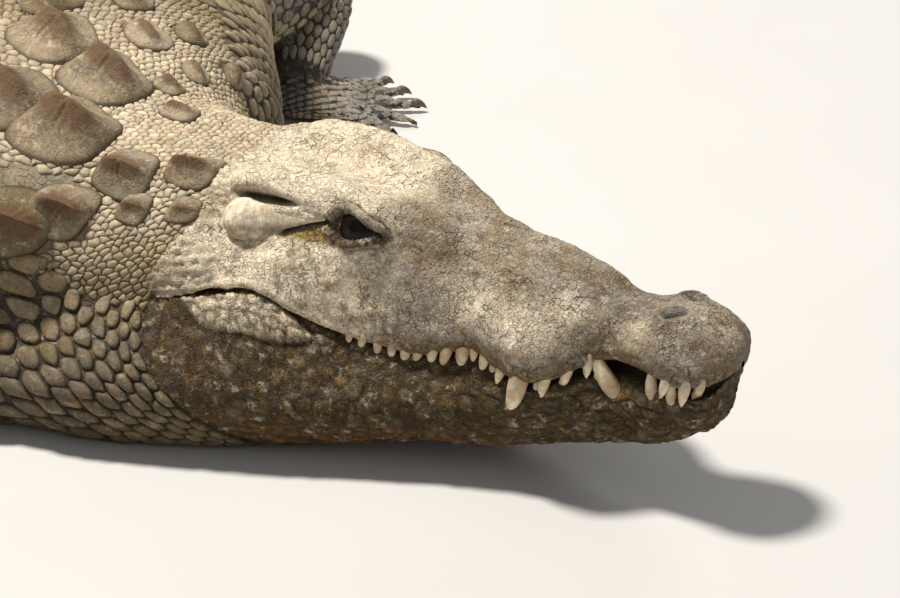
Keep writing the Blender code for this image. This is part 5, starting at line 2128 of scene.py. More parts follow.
@dataclass
class NeckPlates:
    """The raised plates of the nape, which the bend of the neck has pushed out of line."""

    coats: ScaleCoats
    shape: ScaleShape = shaped(
        48, (1.0, 0.0), (0.96, 0.45), (0.90, 0.72), (0.80, 0.86), (0.68, 0.93), (0.55, 0.96), (0.42, 0.98),
        (0.30, 1.0), (0.20, 1.0), (0.10, 1.0),
    )
    # arc, distance to the left, length, width and height of the keel, in metres
    plates: tuple = tuple(NeckPlate(*row) for row in (
        (0.144, -0.058, 0.066, 0.080, 0.0310), (0.198, -0.066, 0.064, 0.082, 0.0290),
        (0.176, 0.012, 0.076, 0.076, 0.0270), (0.250, 0.010, 0.076, 0.076, 0.0230),
        (0.132, -0.136, 0.050, 0.048, 0.0210), (0.110, -0.113, 0.042, 0.038, 0.0190),
        (0.084, -0.074, 0.046, 0.046, 0.0190), (0.034, -0.054, 0.048, 0.036, 0.0150),
        (0.064, -0.094, 0.026, 0.024, 0.0080), (0.026, -0.082, 0.028, 0.018, 0.0050),
        (0.140, 0.052, 0.032, 0.026, 0.0090), (0.156, 0.097, 0.038, 0.030, 0.0060, PlateKind.FLAT),
        (0.166, 0.150, 0.038, 0.028, 0.0050, PlateKind.FLAT),
        (0.228, 0.088, 0.066, 0.046, 0.0060, PlateKind.FLAT),
        (0.234, 0.134, 0.056, 0.034, 0.0060, PlateKind.FLAT), (0.098, 0.018, 0.036, 0.030, 0.0080),
        (0.262, -0.072, 0.062, 0.068, 0.0210), (0.186, -0.132, 0.052, 0.048, 0.0160),
        (0.316, 0.028, 0.050, 0.062, 0.0150), (0.322, -0.052, 0.046, 0.062, 0.0150),
        (0.306, 0.102, 0.046, 0.040, 0.0060), (0.268, -0.134, 0.050, 0.042, 0.0080),
    ))

    def under(self, arc: np.ndarray, around: np.ndarray) -> np.ndarray:
        """True where a place on the body lies under a plate.

        Args:
            arc: (n,) arc lengths.
            around: (n,) shares round the body.

        Returns:
            (n,) true under a plate.
        """
        straight = self.coats.flat_patch.place(arc / self.coats.length, (around + 1) / 2)
        covered = np.full(len(arc), False)
        for plate in self.plates:
            ahead = (-straight[:, 0] - plate.arc) / (plate.length * 0.42)
            beside = (straight[:, 1] - plate.across) / (plate.width * 0.42)
            covered |= (np.abs(ahead) ** 3 + np.abs(beside) ** 3 < 1) & (np.abs(around) < 0.5)
        return covered

    def outline(self, plate: NeckPlate, index: int) -> tuple[np.ndarray, np.ndarray]:
        """The centre and rim of a plate.

        Args:
            plate: The plate.
            index: Its number, which picks its unevenness.

        Returns:
            (1, 2) and (1, sides, 2) shares along and round the body's patch.
        """
        length = self.coats.length
        arc, share = self.coats.spot(plate.arc, plate.across)
        step = self.coats.share_of(arc, plate.across + 0.01) - share
        angle = 2 * math.pi * np.arange(48) / 48
        power = 3.0 if plate.kind is PlateKind.KEELED else 2.1
        squared = (np.abs(np.cos(angle)) ** power + np.abs(np.sin(angle)) ** power) ** (-1 / power)
        random = scatter(np.array([[index, 7]]), 131)[0]
        wobble = 1 + 0.05 * np.sin(3 * angle + 6 * random[0]) + 0.04 * np.sin(2 * angle + 6 * random[1])
        ahead = np.cos(angle) * squared * plate.length / 2 * wobble
        beside = np.sin(angle) * squared * plate.width / 2 * wobble
        outline = np.stack([(arc + ahead) / length, share + beside * step / 0.01], axis=1)
        return np.array([[arc / length, share]]), outline[None]

    def build(self) -> Coat:
        """Lay every plate.

        Returns:
            The coat of plates.
        """
        coat = Coat(self.shape, self.coats.hide)
        for index, plate in enumerate(self.plates):
            centre, outline = self.outline(plate, index)
            straight = self.coats.flat_patch.place(centre[:, 0], centre[:, 1])
            hue = self.coats.markings.body(straight, centre[:, 1] * 2 - 1)
            hue = self.coats.markings.blend(hue, ("brown", np.array([0.36]))) * 0.78
            coat.lay(Laying(
                self.coats.patch, centre, outline, np.array([0.0042]), hue, np.array([plate.keel]),
                130 + index, rear=0.2, tent=plate.kind is PlateKind.KEELED,
            ))
        return coat


@dataclass
class TailCrest:
    """The upright blades along the tail: two rows that meet in one."""

    # height, and distance to the midline, by arc length
    rise: tuple = ((1.12, 0.004), (1.35, 0.014), (1.65, 0.026), (1.95, 0.034), (2.30, 0.030), (2.56, 0.006))
    spread: tuple = ((1.12, 0.050), (1.35, 0.042), (1.65, 0.026), (1.86, 0.010))
    # share of the full height along a blade, and across it
    outline: tuple = (
        (-0.56, 0.0), (-0.40, 0.34), (-0.15, 0.70), (0.12, 0.95), (0.30, 1.0), (0.44, 0.80), (0.54, 0.0),
    )
    section: tuple = (
        (-1.0, 0.0), (-0.62, 0.10), (-0.34, 0.38), (-0.15, 0.80), (0.0, 1.0), (0.15, 0.80), (0.34, 0.38),
        (0.62, 0.10), (1.0, 0.0),
    )

    def blade(
        self, coats: ScaleCoats, arc: float, side: float, tall: float, wide: float
    ) -> bmesh.types.BMesh:
        """One blade, a leaning ridge that is thick at its foot.

        Args:
            coats: Gives the body's surface.
            arc: The blade's place along the spine.
            side: Its distance to the left of the back's midline.
            tall: Its height.
            wide: Half the width of its foot.

        Returns:
            The blade, open below, with its foot in the hide.
        """
        bm, spots = grid(15, 9)
        ahead = (spots[:, 0] / 14 - 0.5) * 1.10
        across, up = np.array(self.section)[spots[:, 1]].T
        top = np.maximum(Table(self.outline).at(ahead)[:, 0], 0)
        places = arc + ahead * CREST_PITCH * 0.98
        share = coats.share_of(arc, side)
        slope = coats.share_of(arc, side + 0.01) - share
        beside = slope * across * wide / 0.01 * (0.35 + 0.65 * (1 - up))
        foot = coats.patch.place(places / coats.length, share + beside)
        lift = up * top * tall
        normal = coats.patch.normal(np.full(1, arc / coats.length), np.full(1, share))[0]
        out = unit(normal * 0.4 + np.array([0, 0, 0.6]))
        world = foot + out * (lift - 0.0028 - 0.003 * (1 - up))[:, None]
        facing = SPINE.facing(np.array([arc]))[0]
        world[:, :2] -= facing * (0.30 * lift)[:, None]
        place_vertices(bm, world)
        straight = np.tile([-arc, 0, 0.1], (len(world), 1))
        hue = coats.markings.body(straight + np.c_[-ahead * 0.02, across * 0.01, lift], np.zeros(len(world)))
        paint_vertices(bm, "hue", hue * (0.95 - 0.35 * up[:, None]))
        # painted shade at the blade's foot, where it meets the hide
        paint_vertices(bm, "crack_and_shade", 0.75 * fade(top * up + 0.35 * up, 0.02, 0.16))
        paint_vertices(bm, "keel", up * 0.5)
        face_outwards(bm)
        if sum(face.normal.dot(Vector(out)) for face in bm.faces) < 0:
            bmesh.ops.reverse_faces(bm, faces=bm.faces[:])
        return bm

    def build(self, coats: ScaleCoats) -> bpy.types.Mesh:
        """Raise every blade.

        Args:
            coats: Gives the body's surface.

        Returns:
            The mesh in world places.
        """
        rise, spread = Table(self.rise), Table(self.spread)
        parts = []
        for arc in np.arange(1.12 + CREST_PITCH / 2, 2.53, CREST_PITCH):
            paired = arc < CREST_MERGE
            side = float(spread.at(arc)[0, 0]) if paired else 0.0
            wide = 0.010 if paired else 0.009 * (1.0 if arc < 2.2 else 0.6)
            for place in (side, -side) if paired else (0.0,):
                parts.append(self.blade(coats, arc, place, float(rise.at(arc)[0, 0]), wide))
        return joined("tail_crest", parts)


@dataclass
class Eye:
    """An eyeball that looks out of the lids."""

    side: int
    cornea: float = 0.0012

    def build(self) -> bpy.types.Mesh:
        """Make the ball and store where each place lies across the iris.

        Returns:
            The mesh, in world places.
        """
        bm = bmesh.new()
        bmesh.ops.create_uvsphere(bm, u_segments=48, v_segments=32, radius=EYE_RADIUS - 0.0006)
        local = places_of(bm)
        polar = np.arccos(np.clip(local[:, 2] / np.linalg.norm(local, axis=1), -1, 1))
        bulge = 1 + self.cornea / EYE_RADIUS * hump(polar, 0, 0.55)
        local = local * bulge[:, None]
        out = unit(np.array([0.10, EYE_OUTWARD[0] * self.side, EYE_OUTWARD[1]]))
        ahead = unit(np.array([1.0, 0, 0]) - out * out[0])
        above = np.cross(out, ahead) * self.side
        centre = eye_centre(self.side)
        turned = centre + local[:, :1] * ahead + local[:, 1:2] * above + local[:, 2:] * out
        place_vertices(bm, SPINE.bend(turned))
        layer = bm.loops.layers.uv.new("iris")
        for face in bm.faces:
            for loop in face.loops:
                x, y = local[loop.vert.index, :2]
                front = 0.5 if local[loop.vert.index, 2] > 0 else 9.0
                loop[layer].uv = (x / 0.04 + front, y / 0.04 + 0.5)
        face_outwards(bm)
        return mesh_of("eye", bm)


@dataclass
class EarLid:
    """The long movable lid over the ear, with its round lobe at the rear."""

    side: int
    # centre line in head lengths, and radius in metres by share of its length
    line: tuple = (
        (0.0180, 0.168, 0.4430), (0.060, 0.1715, 0.4480), (0.110, 0.169, 0.4580), (0.165, 0.163, 0.4700),
        (0.205, 0.157, 0.4775), (0.226, 0.153, 0.4805),
    )
    girth: tuple = (
        (0.0, 0.0030), (0.035, 0.0104), (0.09, 0.0150), (0.17, 0.0174), (0.25, 0.0170), (0.33, 0.0146),
        (0.45, 0.0112), (0.60, 0.0078), (0.80, 0.0043), (1.0, 0.0014),
    )

    def build(self, markings: Markings) -> bpy.types.Mesh:
        """Make the lid with its cross creases.

        Args:
            markings: Gives every place its colour.

        Returns:
            The mesh in world places.
        """
        control = np.array(self.line) * HEAD
        control[:, 1] *= self.side
        reach = reach_of(control)
        steps = np.linspace(0, 1, 110)
        line = Table(np.c_[reach, control]).at(steps * reach[-1])
        radii = Table(self.girth).at(steps)[:, 0]
        wave = np.sin(steps * reach[-1] / 0.0021 * math.pi + 1.5 * np.sin(steps * 40))
        radii = radii + 0.00016 * wave * ramp(steps, 0.16, 0.26) * fade(steps, 0.5, 0.75)
        out = Vector((0.0, 0.93 * self.side, 0.36))
        bm = tapered(line, radii, around=40, flat=1.0, beside=out)
        places = places_of(bm)
        nearest = np.argmin(np.linalg.norm(places[:, None] - line[None], axis=2), axis=1)
        offset = places - line[nearest]
        depth = offset @ np.array(out)
        squeeze = np.where(depth > 0, 0.45 + 0.45 * fade(nearest / 109, 0.22, 0.50), 0.85)
        places = places - np.outer(depth * (1 - squeeze), np.array(out))
        rough = (rough_noise(places, 0.006, 91) - 0.5) * 0.0008
        places = places + normals_of(bm) * rough[:, None]
        share = nearest / (len(line) - 1)
        under = offset @ np.array((0, 0.45 * self.side, -0.89))
        paint_vertices(bm, "hue", markings.blend(
            markings.plain("cream", len(places)) * 0.92,
            ("grey", 0.45 * ramp(share, 0.34, 0.50) * fade(share, 0.7, 0.9)),
            # partly painted shade: browner in patches on the lower side of the lid
            ("brown", 0.62 * ramp(under, 0.001, 0.010) * patchy(places, 0.008, 94, 0.25, 0.50)),
            ("slate", 0.35 * patchy(places, 0.004, 92, 0.55, 0.7)),
        ))
        # painted shade in the cross creases
        crease = 0.24 * ramp(-wave[nearest], 0.55, 0.95) * ramp(share, 0.18, 0.28) * fade(share, 0.5, 0.7)
        paint_vertices(bm, "crack_and_shade", crease)
        place_vertices(bm, SPINE.bend(places))
        return mesh_of("ear_lid", bm)


@dataclass
class Teeth:
    """The teeth that show between the lips."""

    form: HeadForm
    # distance forward in head lengths, and height of the crown in metres
    upper: tuple = (
        (0.982, 0.008), (0.957, 0.013), (0.922, 0.010), (0.757, 0.010), (0.728, 0.014), (0.690, 0.017),
        (0.643, 0.037), (0.600, 0.011), (0.562, 0.013), (0.536, 0.010), (0.512, 0.019), (0.482, 0.015),
        (0.455, 0.012), (0.428, 0.011), (0.402, 0.012), (0.376, 0.009), (0.350, 0.008), (0.322, 0.006),
        (0.296, 0.005),
    )
    lower: tuple = (
        (0.970, 0.009), (0.926, 0.012), (0.885, 0.016), (0.806, 0.032), (0.770, 0.009), (0.712, 0.006),
        (0.668, 0.008), (0.622, 0.009), (0.570, 0.009), (0.525, 0.008), (0.496, 0.008), (0.440, 0.006),
    )
    taper: Table = field(default_factory=lambda: Table((
        (-0.28, 0.82), (0.0, 0.98), (0.20, 1.0), (0.45, 0.86), (0.70, 0.58), (0.88, 0.30), (0.965, 0.14),
        (1.0, 0.035),
    )))

    def spike(self, forward: float, crown: float, upper: bool, side: int) -> bmesh.types.BMesh:
        """One tooth, a thick cone with a rounded tip that curves a little inwards.

        Args:
            forward: Distance forward in head lengths.
            crown: Height of the crown in metres.
            upper: Whether it stands in the upper jaw.
            side: 1 for the left, -1 for the right.

        Returns:
            The bmesh in straight places.
        """
        row = self.form.upper.at(forward)[0] * HEAD
        opening = self.form.opening.at(forward)[0, 0]
        random = scatter(np.array([[int(forward * 1000), side + 2 * upper]]), 95)[0]
        big = float(ramp(crown, 0.018, 0.026))
        half = 0.0026 + 0.0054 * big + 0.17 * crown * (1 - big)
        crown = crown * (1.0 + 0.20 * (1 - big)) + 0.0040 + (0.0070 * big if upper else 0)
        notch = 0.0024 if 0.66 < forward < 0.76 and not big else 0.0
        inwards = 0.0026 + notch if upper else 0.0090 + notch - 0.0040 * big
        up = -1 if upper else 1
        sunk = 0.004 + 0.008 * big * (not upper)
        height = row[1] - up * sunk - (0 if upper else opening)
        root = np.array([forward * HEAD, side * (row[0] - inwards), height])
        share = np.array([-0.28, -0.14, 0.0, 0.14, 0.28, 0.42, 0.56, 0.70, 0.82, 0.91, 0.965, 1.0])
        radii = half * self.taper.at(share)[:, 0]
        reach = crown + 0.003
        back = (-0.16 if upper else -0.50 * big - 0.05) + 0.25 * (random[0] - 0.5)
        splay = (0.07 if upper else 0.14 + 0.14 * big) + 0.10 * (random[1] - 0.5)
        ahead = back * share + 0.08 * share ** 2 * up
        beside = side * (splay * share - 0.22 * share ** 2)
        line = root + np.stack([ahead, beside, up * share], axis=1) * reach
        return tapered(line, radii, around=14, beside=Vector((1, 0, 0)), flat=0.86)

    def build(self) -> bpy.types.Mesh:
        """Set every tooth in both sides of both jaws.

        Returns:
            The mesh, in world places.
        """
        rows = ((True, self.upper), (False, self.lower))
        parts = [
            self.spike(forward, crown, upper, side)
            for side in (1, -1) for upper, row in rows for forward, crown in row
        ]
        for part in parts:
            places = places_of(part)
            places[:, 0] = shifted_snout(places[:, 0])
            place_vertices(part, SPINE.bend(places))
        return joined("teeth", parts)


class Claws:
    """The dark claws of the inner digits."""

    taper = Table(((-0.35, 0.8), (0.0, 1.0), (0.4, 0.72), (0.8, 0.32), (1.0, 0.06)))

    def claw(self, limb: Limb, k: int) -> bmesh.types.BMesh:
        """One curved claw at the end of a digit.

        Args:
            limb: The leg.
            k: The digit's place in the row.

        Returns:
            The bmesh in world places.
        """
        radius = limb.digit_size(k)[1]
        tip = limb.digit(k)[-3].mean(axis=0)
        long = 0.020 if limb.hind else 0.014
        share = np.linspace(-0.35, 1, 16)
        line = tip + limb.aim(k) * (share * long * 0.8)[:, None]
        line[:, 2] = tip[2] + 0.0035 + 0.0015 * share - 0.0075 * np.maximum(share, 0) ** 2
        radii = radius * 0.46 * self.taper.at(share)[:, 0]
        line[:, 2] = np.maximum(line[:, 2], radii + FLOOR_GAP)
        return tapered(line, radii, around=16, flat=0.8, beside=Vector((0, 0, 1)))

    def build(self) -> bpy.types.Mesh:
        """Put a claw on every clawed digit."""
        digits = [(limb, k) for limb in LIMBS for k in range(limb.digits) if limb.clawed(k)]
        return joined("claws", [self.claw(limb, k) for limb, k in digits])


# ---------------------------------------------------------------- finishes
class Nodes:
    """Short ways to add shader nodes to one tree."""

    def __init__(self, tree: bpy.types.NodeTree) -> None:
        """Keep the tree."""
        self.tree = tree

    def feed(self, socket: bpy.types.NodeSocket, value: object) -> None:
        """Link a socket to another, or set its value.

        Args:
            socket: The input socket.
            value: A socket, a value, or None to leave it alone.
        """
        if isinstance(value, bpy.types.NodeSocket):
            self.tree.links.new(value, socket)
        elif value is not None:
            socket.default_value = value

    def add(self, kind: str, **settings: object) -> bpy.types.Node:
        """Add a node with its settings.

        Args:
            kind: The node's type.
            settings: Its settings by name.

        Returns:
            The node.
        """
        node = self.tree.nodes.new(kind)
        for name, value in settings.items():
            setattr(node, name, value)
        return node

    def times(self, *values: object) -> bpy.types.NodeSocket:
        """The product of several values.

        Args:
            values: Sockets or numbers.

        Returns:
            The result's socket.
        """
        total = values[0]
        for value in values[1:]:
            total = self.maths("MULTIPLY", total, value)
        return total

    def most(self, *values: object) -> bpy.types.NodeSocket:
        """The largest of several values.

        Args:
            values: Sockets or numbers.

        Returns:
            The result's socket.
        """
        total = values[0]
        for value in values[1:]:
            total = self.maths("MAXIMUM", total, value)
        return total

    def scaled(self, vector: object, share: object) -> bpy.types.NodeSocket:
        """A vector or colour times a number.

        Args:
            vector: The vector or colour.
            share: The number.

        Returns:
            The result's socket.
        """
        node = self.add("ShaderNodeVectorMath", operation="SCALE")
        self.feed(node.inputs[0], vector)
        self.feed(node.inputs["Scale"], share)
        return node.outputs[0]

    def dress(
        self, shader: bpy.types.Node, colour: object, rough: object, height: object = None, depth: float = 0.0
    ) -> None:
        """Feed a shader.

        Args:
            shader: The shader.
            colour: Its colour.
            rough: Its roughness.
            height: Its bump's height, if it has one.
            depth: The bump's depth in metres.
        """
        self.feed(shader.inputs["Base Color"], colour)
        self.feed(shader.inputs["Roughness"], rough)
        if height is not None:
            bump = self.add("ShaderNodeBump")
            bump.inputs["Distance"].default_value = depth
            self.feed(bump.inputs["Height"], height)
            self.feed(shader.inputs["Normal"], bump.outputs["Normal"])

    def maths(self, operation: str, a: object, b: object = None, clamp: bool = False) -> bpy.types.NodeSocket:
        """A Math node's result.

        Args:
            operation: The node's operation.
            a: First value.
            b: Second value, where it has one.
            clamp: Whether the result stays from 0 to 1.

        Returns:
            The result's socket.
        """
        node = self.add("ShaderNodeMath", operation=operation, use_clamp=clamp)
        self.feed(node.inputs[0], a)
        self.feed(node.inputs[1], b)
        return node.outputs[0]

    def mix(self, share: object, a: object, b: object, way: str = "MIX") -> bpy.types.NodeSocket:
        """Mix two colours.

        Args:
            share: Share of the second colour.
            a: The first colour.
            b: The second colour.
            way: How they are mixed.

        Returns:
            The mixed colour.
        """
        node = self.add("ShaderNodeMix", data_type="RGBA", blend_type=way)
        self.feed(node.inputs[0], share)
        self.feed(node.inputs[6], a)
        self.feed(node.inputs[7], b)
        return node.outputs[2]

    def noise(
        self, vector: object, scale: float, detail: float = 3.0, rough: float = 0.55
    ) -> bpy.types.NodeSocket:
        """Read a noise.

        Args:
            vector: Where it is read.
            scale: How fine it is.
            detail: How many layers it has.
            rough: The finer layers' strength.

        Returns:
            Noise from 0 to 1.
        """
        node = self.add("ShaderNodeTexNoise")
        self.feed(node.inputs["Vector"], vector)
        self.feed(node.inputs["Scale"], scale)
        self.feed(node.inputs["Detail"], detail)
        self.feed(node.inputs["Roughness"], rough)
        return node.outputs["Fac"]

    def cells(self, vector: object, scale: object, feature: str = "DISTANCE_TO_EDGE") -> bpy.types.NodeSocket:
        """Distance in a pattern of cells.

        Args:
            vector: Where the pattern is read.
            scale: Cells in a metre.
            feature: What the distance is to.

        Returns:
            The distance's socket.
        """
        node = self.add("ShaderNodeTexVoronoi", feature=feature)
        self.feed(node.inputs["Vector"], vector)
        self.feed(node.inputs["Scale"], scale)
        return node.outputs["Distance"]

    def step(
        self, value: object, low: object, high: object, first: float = 0.0, last: float = 1.0
    ) -> bpy.types.NodeSocket:
        """A smooth step between two values.

        Args:
            value: What is read.
            low: Where the step starts.
            high: Where it ends.
            first: The result before it.
            last: The result after it.

        Returns:
            The result.
        """
        node = self.add("ShaderNodeMapRange", interpolation_type="SMOOTHSTEP")
        names = ("Value", "From Min", "From Max", "To Min", "To Max")
        for name, entry in zip(names, (value, low, high, first, last)):
            self.feed(node.inputs[name], entry)
        return node.outputs[0]

    def warp(self, vector: object, scale: float, amount: float) -> bpy.types.NodeSocket:
        """Shift coordinates by noise.

        Args:
            vector: The coordinates.
            scale: How fine the noise is.
            amount: How far it shifts them.

        Returns:
            The shifted coordinates.
        """
        node = self.add("ShaderNodeTexNoise")
        self.feed(node.inputs["Vector"], vector)
        self.feed(node.inputs["Scale"], scale)
        total = self.add("ShaderNodeVectorMath", operation="ADD")
        self.feed(total.inputs[0], vector)
        self.feed(total.inputs[1], self.scaled(node.outputs["Color"], amount))
        return total.outputs[0]

    def attribute(self, name: str, colour: bool = False) -> bpy.types.NodeSocket:
        """A value or colour stored on the piece."""
        node = self.add("ShaderNodeAttribute", attribute_name=name, attribute_type="GEOMETRY")
        return node.outputs["Color" if colour else "Fac"]

    def here(self) -> bpy.types.NodeSocket:
        """Object coordinates."""
        return self.add("ShaderNodeTexCoord").outputs["Object"]


def new_group(
    name: str, inputs: tuple, outputs: tuple
) -> tuple[bpy.types.NodeTree, Nodes, dict, bpy.types.Node]:
    """Start a node group.

    Args:
        name: The group's name.
        inputs: (name, socket type, default) of each input.
        outputs: (name, socket type) of each output.

    Returns:
        The tree, a node writer for it, its input sockets by name, and its output node.
    """
    tree = bpy.data.node_groups.new(name, "ShaderNodeTree")
    for label, kind, default in inputs:
        socket = tree.interface.new_socket(name=label, in_out="INPUT", socket_type=kind)
        if default is not None:
            socket.default_value = default
    for label, kind in outputs:
        tree.interface.new_socket(name=label, in_out="OUTPUT", socket_type=kind)
    nodes = Nodes(tree)
    start = nodes.add("NodeGroupInput")
    end = nodes.add("NodeGroupOutput")
    return tree, nodes, {socket.name: socket for socket in start.outputs}, end


class HideDetail:
    """The fine grain of hide: creases, cracks and pores painted dark as shade, flakes and dust, shared by
    every finish of hide.
    """

    def __init__(self) -> None:
        """Build the group."""
        colour, number, vector = "NodeSocketColor", "NodeSocketFloat", "NodeSocketVector"
        self.tree, nodes, given, end = new_group(
            "hide detail",
            (
                ("Place", vector, None), ("Hue", colour, (0.4, 0.3, 0.2, 1)),
                ("Shade colour", colour, (0.034, 0.023, 0.012, 1)), ("Cavity shade", number, 0.0),
                ("Crack size", number, 95.0), ("Crack", number, 0.5), ("Pores", number, 0.4),
                ("Flakes", number, 0.3), ("Creases", number, 0.5),
            ),
            (("Colour", colour), ("Roughness", number), ("Height", number)),
        )
        here = given["Place"]
        place = nodes.warp(here, 55.0, 0.006)
        crack_and_shade = nodes.step(nodes.cells(place, given["Crack size"]), 0.0, 0.085, 1.0, 0.0)
        crack_and_shade = nodes.times(crack_and_shade, nodes.step(nodes.noise(here, 60.0), 0.36, 0.58), given["Crack"])
        broad = nodes.step(nodes.noise(here, 33.0), 0.42, 0.60)
        wide = nodes.times(self.crease(nodes, here, 75.0, 0.030), broad, given["Creases"])
        narrow = nodes.times(self.crease(nodes, here, 185.0, 0.050), given["Creases"])
        pore = nodes.step(nodes.cells(here, 240.0, "F1"), 0.16, 0.32, 1.0, 0.0)
        pore = nodes.times(pore, nodes.step(nodes.noise(here, 24.0), 0.44, 0.60), given["Pores"])
        grain = nodes.noise(here, 420.0, 4.0, 0.65)
        flakes = nodes.noise(nodes.warp(here, 120.0, 0.004), 85.0, 5.0, 0.72)
        flake = nodes.times(nodes.step(flakes, 0.55, 0.63), given["Flakes"])
        mottle = nodes.noise(here, 130.0, 4.0, 0.6)
        speckle = nodes.step(grain, 0.28, 0.72, 0.80, 1.20)
        shade = nodes.times(speckle, nodes.step(mottle, 0.30, 0.70, 0.84, 1.16))
        cool = nodes.times(nodes.step(nodes.noise(here, 95.0, 3.0), 0.56, 0.70), 0.38)
        warm = nodes.times(nodes.step(nodes.noise(place, 68.0, 4.0), 0.56, 0.70), 0.35)
        tinted = nodes.mix(cool, nodes.scaled(given["Hue"], shade), (0.215, 0.210, 0.190, 1))
        tinted = nodes.mix(warm, tinted, (0.42, 0.245, 0.115, 1))
        lighter = nodes.mix(flake, tinted, (0.70, 0.61, 0.46, 1))
        # painted shade: cracks, pores, creases and the piece's own painted shade are darkened towards the
        # shade colour
        lines = nodes.most(nodes.times(wide, 0.50), nodes.times(narrow, 0.10))
        dark = nodes.most(nodes.most(nodes.times(crack_and_shade, 0.80), nodes.times(pore, 0.85)), lines)
        dark = nodes.maths("MAXIMUM", dark, given["Cavity shade"], clamp=True)
        nodes.feed(end.inputs["Colour"], nodes.mix(dark, lighter, given["Shade colour"]))
        nodes.feed(end.inputs["Roughness"], nodes.step(nodes.noise(here, 150.0), 0.3, 0.7, 0.55, 0.80))
        height = nodes.times(grain, 0.25)
        reliefs = ((crack_and_shade, -0.7), (wide, -0.7), (narrow, -0.25), (pore, -0.65), (flake, 0.35), (mottle, 0.75))
        for value, depth in reliefs:
            height = nodes.maths("ADD", height, nodes.times(value, depth))
        nodes.feed(end.inputs["Height"], height)

    def crease(self, nodes: Nodes, place: object, scale: float, width: float) -> bpy.types.NodeSocket:
        """Wandering thin lines, where noise passes its middle value."""
        noise = nodes.noise(place, scale, 2.0, 0.6)
        return nodes.step(nodes.maths("ABSOLUTE", nodes.maths("SUBTRACT", noise, 0.5)), 0.0, width, 1.0, 0.0)


@dataclass(frozen=True)
class Finish:
    """What every finish shares."""

    name: str

    def start(self) -> tuple[bpy.types.Material, Nodes, bpy.types.Node]:
        """A new material, a writer of nodes for it, and its shader.

        Returns:
            The material, the writer and the shader.
        """
        made = bpy.data.materials.new(self.name)
        made.use_nodes = True
        return made, Nodes(made.node_tree), made.node_tree.nodes["Principled BSDF"]


@dataclass(frozen=True)
class HideFinish(Finish):
    """Hide or scales, coloured by the piece's own marking."""

    crack_size: float = 95.0
    crack_and_shade: float = 0.5
    pores: float = 0.4
    flakes: float = 0.3
    creases: float = 0.5
    depth: float = 0.0012

    def material(self, detail: HideDetail) -> bpy.types.Material:
        """Build the material round the shared detail.

        Args:
            detail: The shared group of nodes.

        Returns:
            The material.
        """
        made, nodes, shader = self.start()
        group = nodes.add("ShaderNodeGroup", node_tree=detail.tree)
        for name, value in (
            ("Place", nodes.here()), ("Hue", nodes.attribute("hue", True)),
            # the piece's own painted shade in its cracks, folds and rims
            ("Cavity shade", nodes.attribute("crack_and_shade")), ("Crack size", self.crack_size),
            ("Crack", self.crack_and_shade), ("Pores", self.pores), ("Flakes", self.flakes), ("Creases", self.creases),
        ):
            nodes.feed(group.inputs[name], value)
        colour, rough, height = (group.outputs[name] for name in ("Colour", "Roughness", "Height"))
        nodes.dress(shader, colour, rough, height, self.depth)
        shader.inputs["Specular IOR Level"].default_value = 0.22
        return made


@dataclass(frozen=True)
class PlateFinish(HideFinish):
    """Horny plates with a brown keel and dark streaks down from it, the painted shade of grooves."""

    crack_size: float = 150
    crack_and_shade: float = 0.20
    pores: float = 0.25
    flakes: float = 0.35
    depth: float = 0.0011

    def material(self, detail: HideDetail) -> bpy.types.Material:
        """Build the hide's material and add the keel's colour and the painted shade of grooves.

        Args:
            detail: The shared group of nodes.

        Returns:
            The material.
        """
        made = super().material(detail)
        nodes = Nodes(made.node_tree)
        shader = made.node_tree.nodes["Principled BSDF"]
        base = shader.inputs["Base Color"].links[0].from_socket
        keel = nodes.attribute("keel")
        # painted shade: dark streaks of grooves below the keel
        groove_shade_noise = nodes.noise(nodes.warp(nodes.here(), 90.0, 0.012), 210.0, 3.0, 0.6)
        share = nodes.times(nodes.step(keel, 0.04, 0.30), nodes.step(groove_shade_noise, 0.40, 0.62), 0.55)
        tone = nodes.mix(nodes.times(nodes.step(keel, 0.28, 0.66), 0.85), base, (0.120, 0.060, 0.026, 1))
        nodes.feed(shader.inputs["Base Color"], nodes.mix(share, tone, (0.10, 0.070, 0.040, 1)))
        return made


@dataclass(frozen=True)
class ToothFinish(Finish):
    """Worn ivory, brown at the root."""

    name: str = "ivory"

    def material(self) -> bpy.types.Material:
        """Build the material.

        Returns:
            The material.
        """
        made, nodes, shader = self.start()
        here = nodes.here()
        stain = nodes.step(nodes.noise(here, 160.0, 4.0, 0.6), 0.35, 0.70)
        root = nodes.step(nodes.attribute("share"), 0.15, 0.60, 1.0, 0.0)
        patch = nodes.step(nodes.noise(here, 60.0, 3.0), 0.45, 0.62)
        tone = nodes.mix(stain, (0.86, 0.78, 0.60, 1), (0.68, 0.54, 0.33, 1))
        tone = nodes.mix(nodes.times(patch, 0.55), tone, (0.46, 0.23, 0.075, 1))
        tone = nodes.mix(nodes.times(root, 0.60), tone, (0.26, 0.145, 0.065, 1))
        rough = nodes.step(stain, 0.0, 1.0, 0.28, 0.45)
        nodes.dress(shader, tone, rough, nodes.noise(here, 320.0, 3.0), 0.0004)
        return made


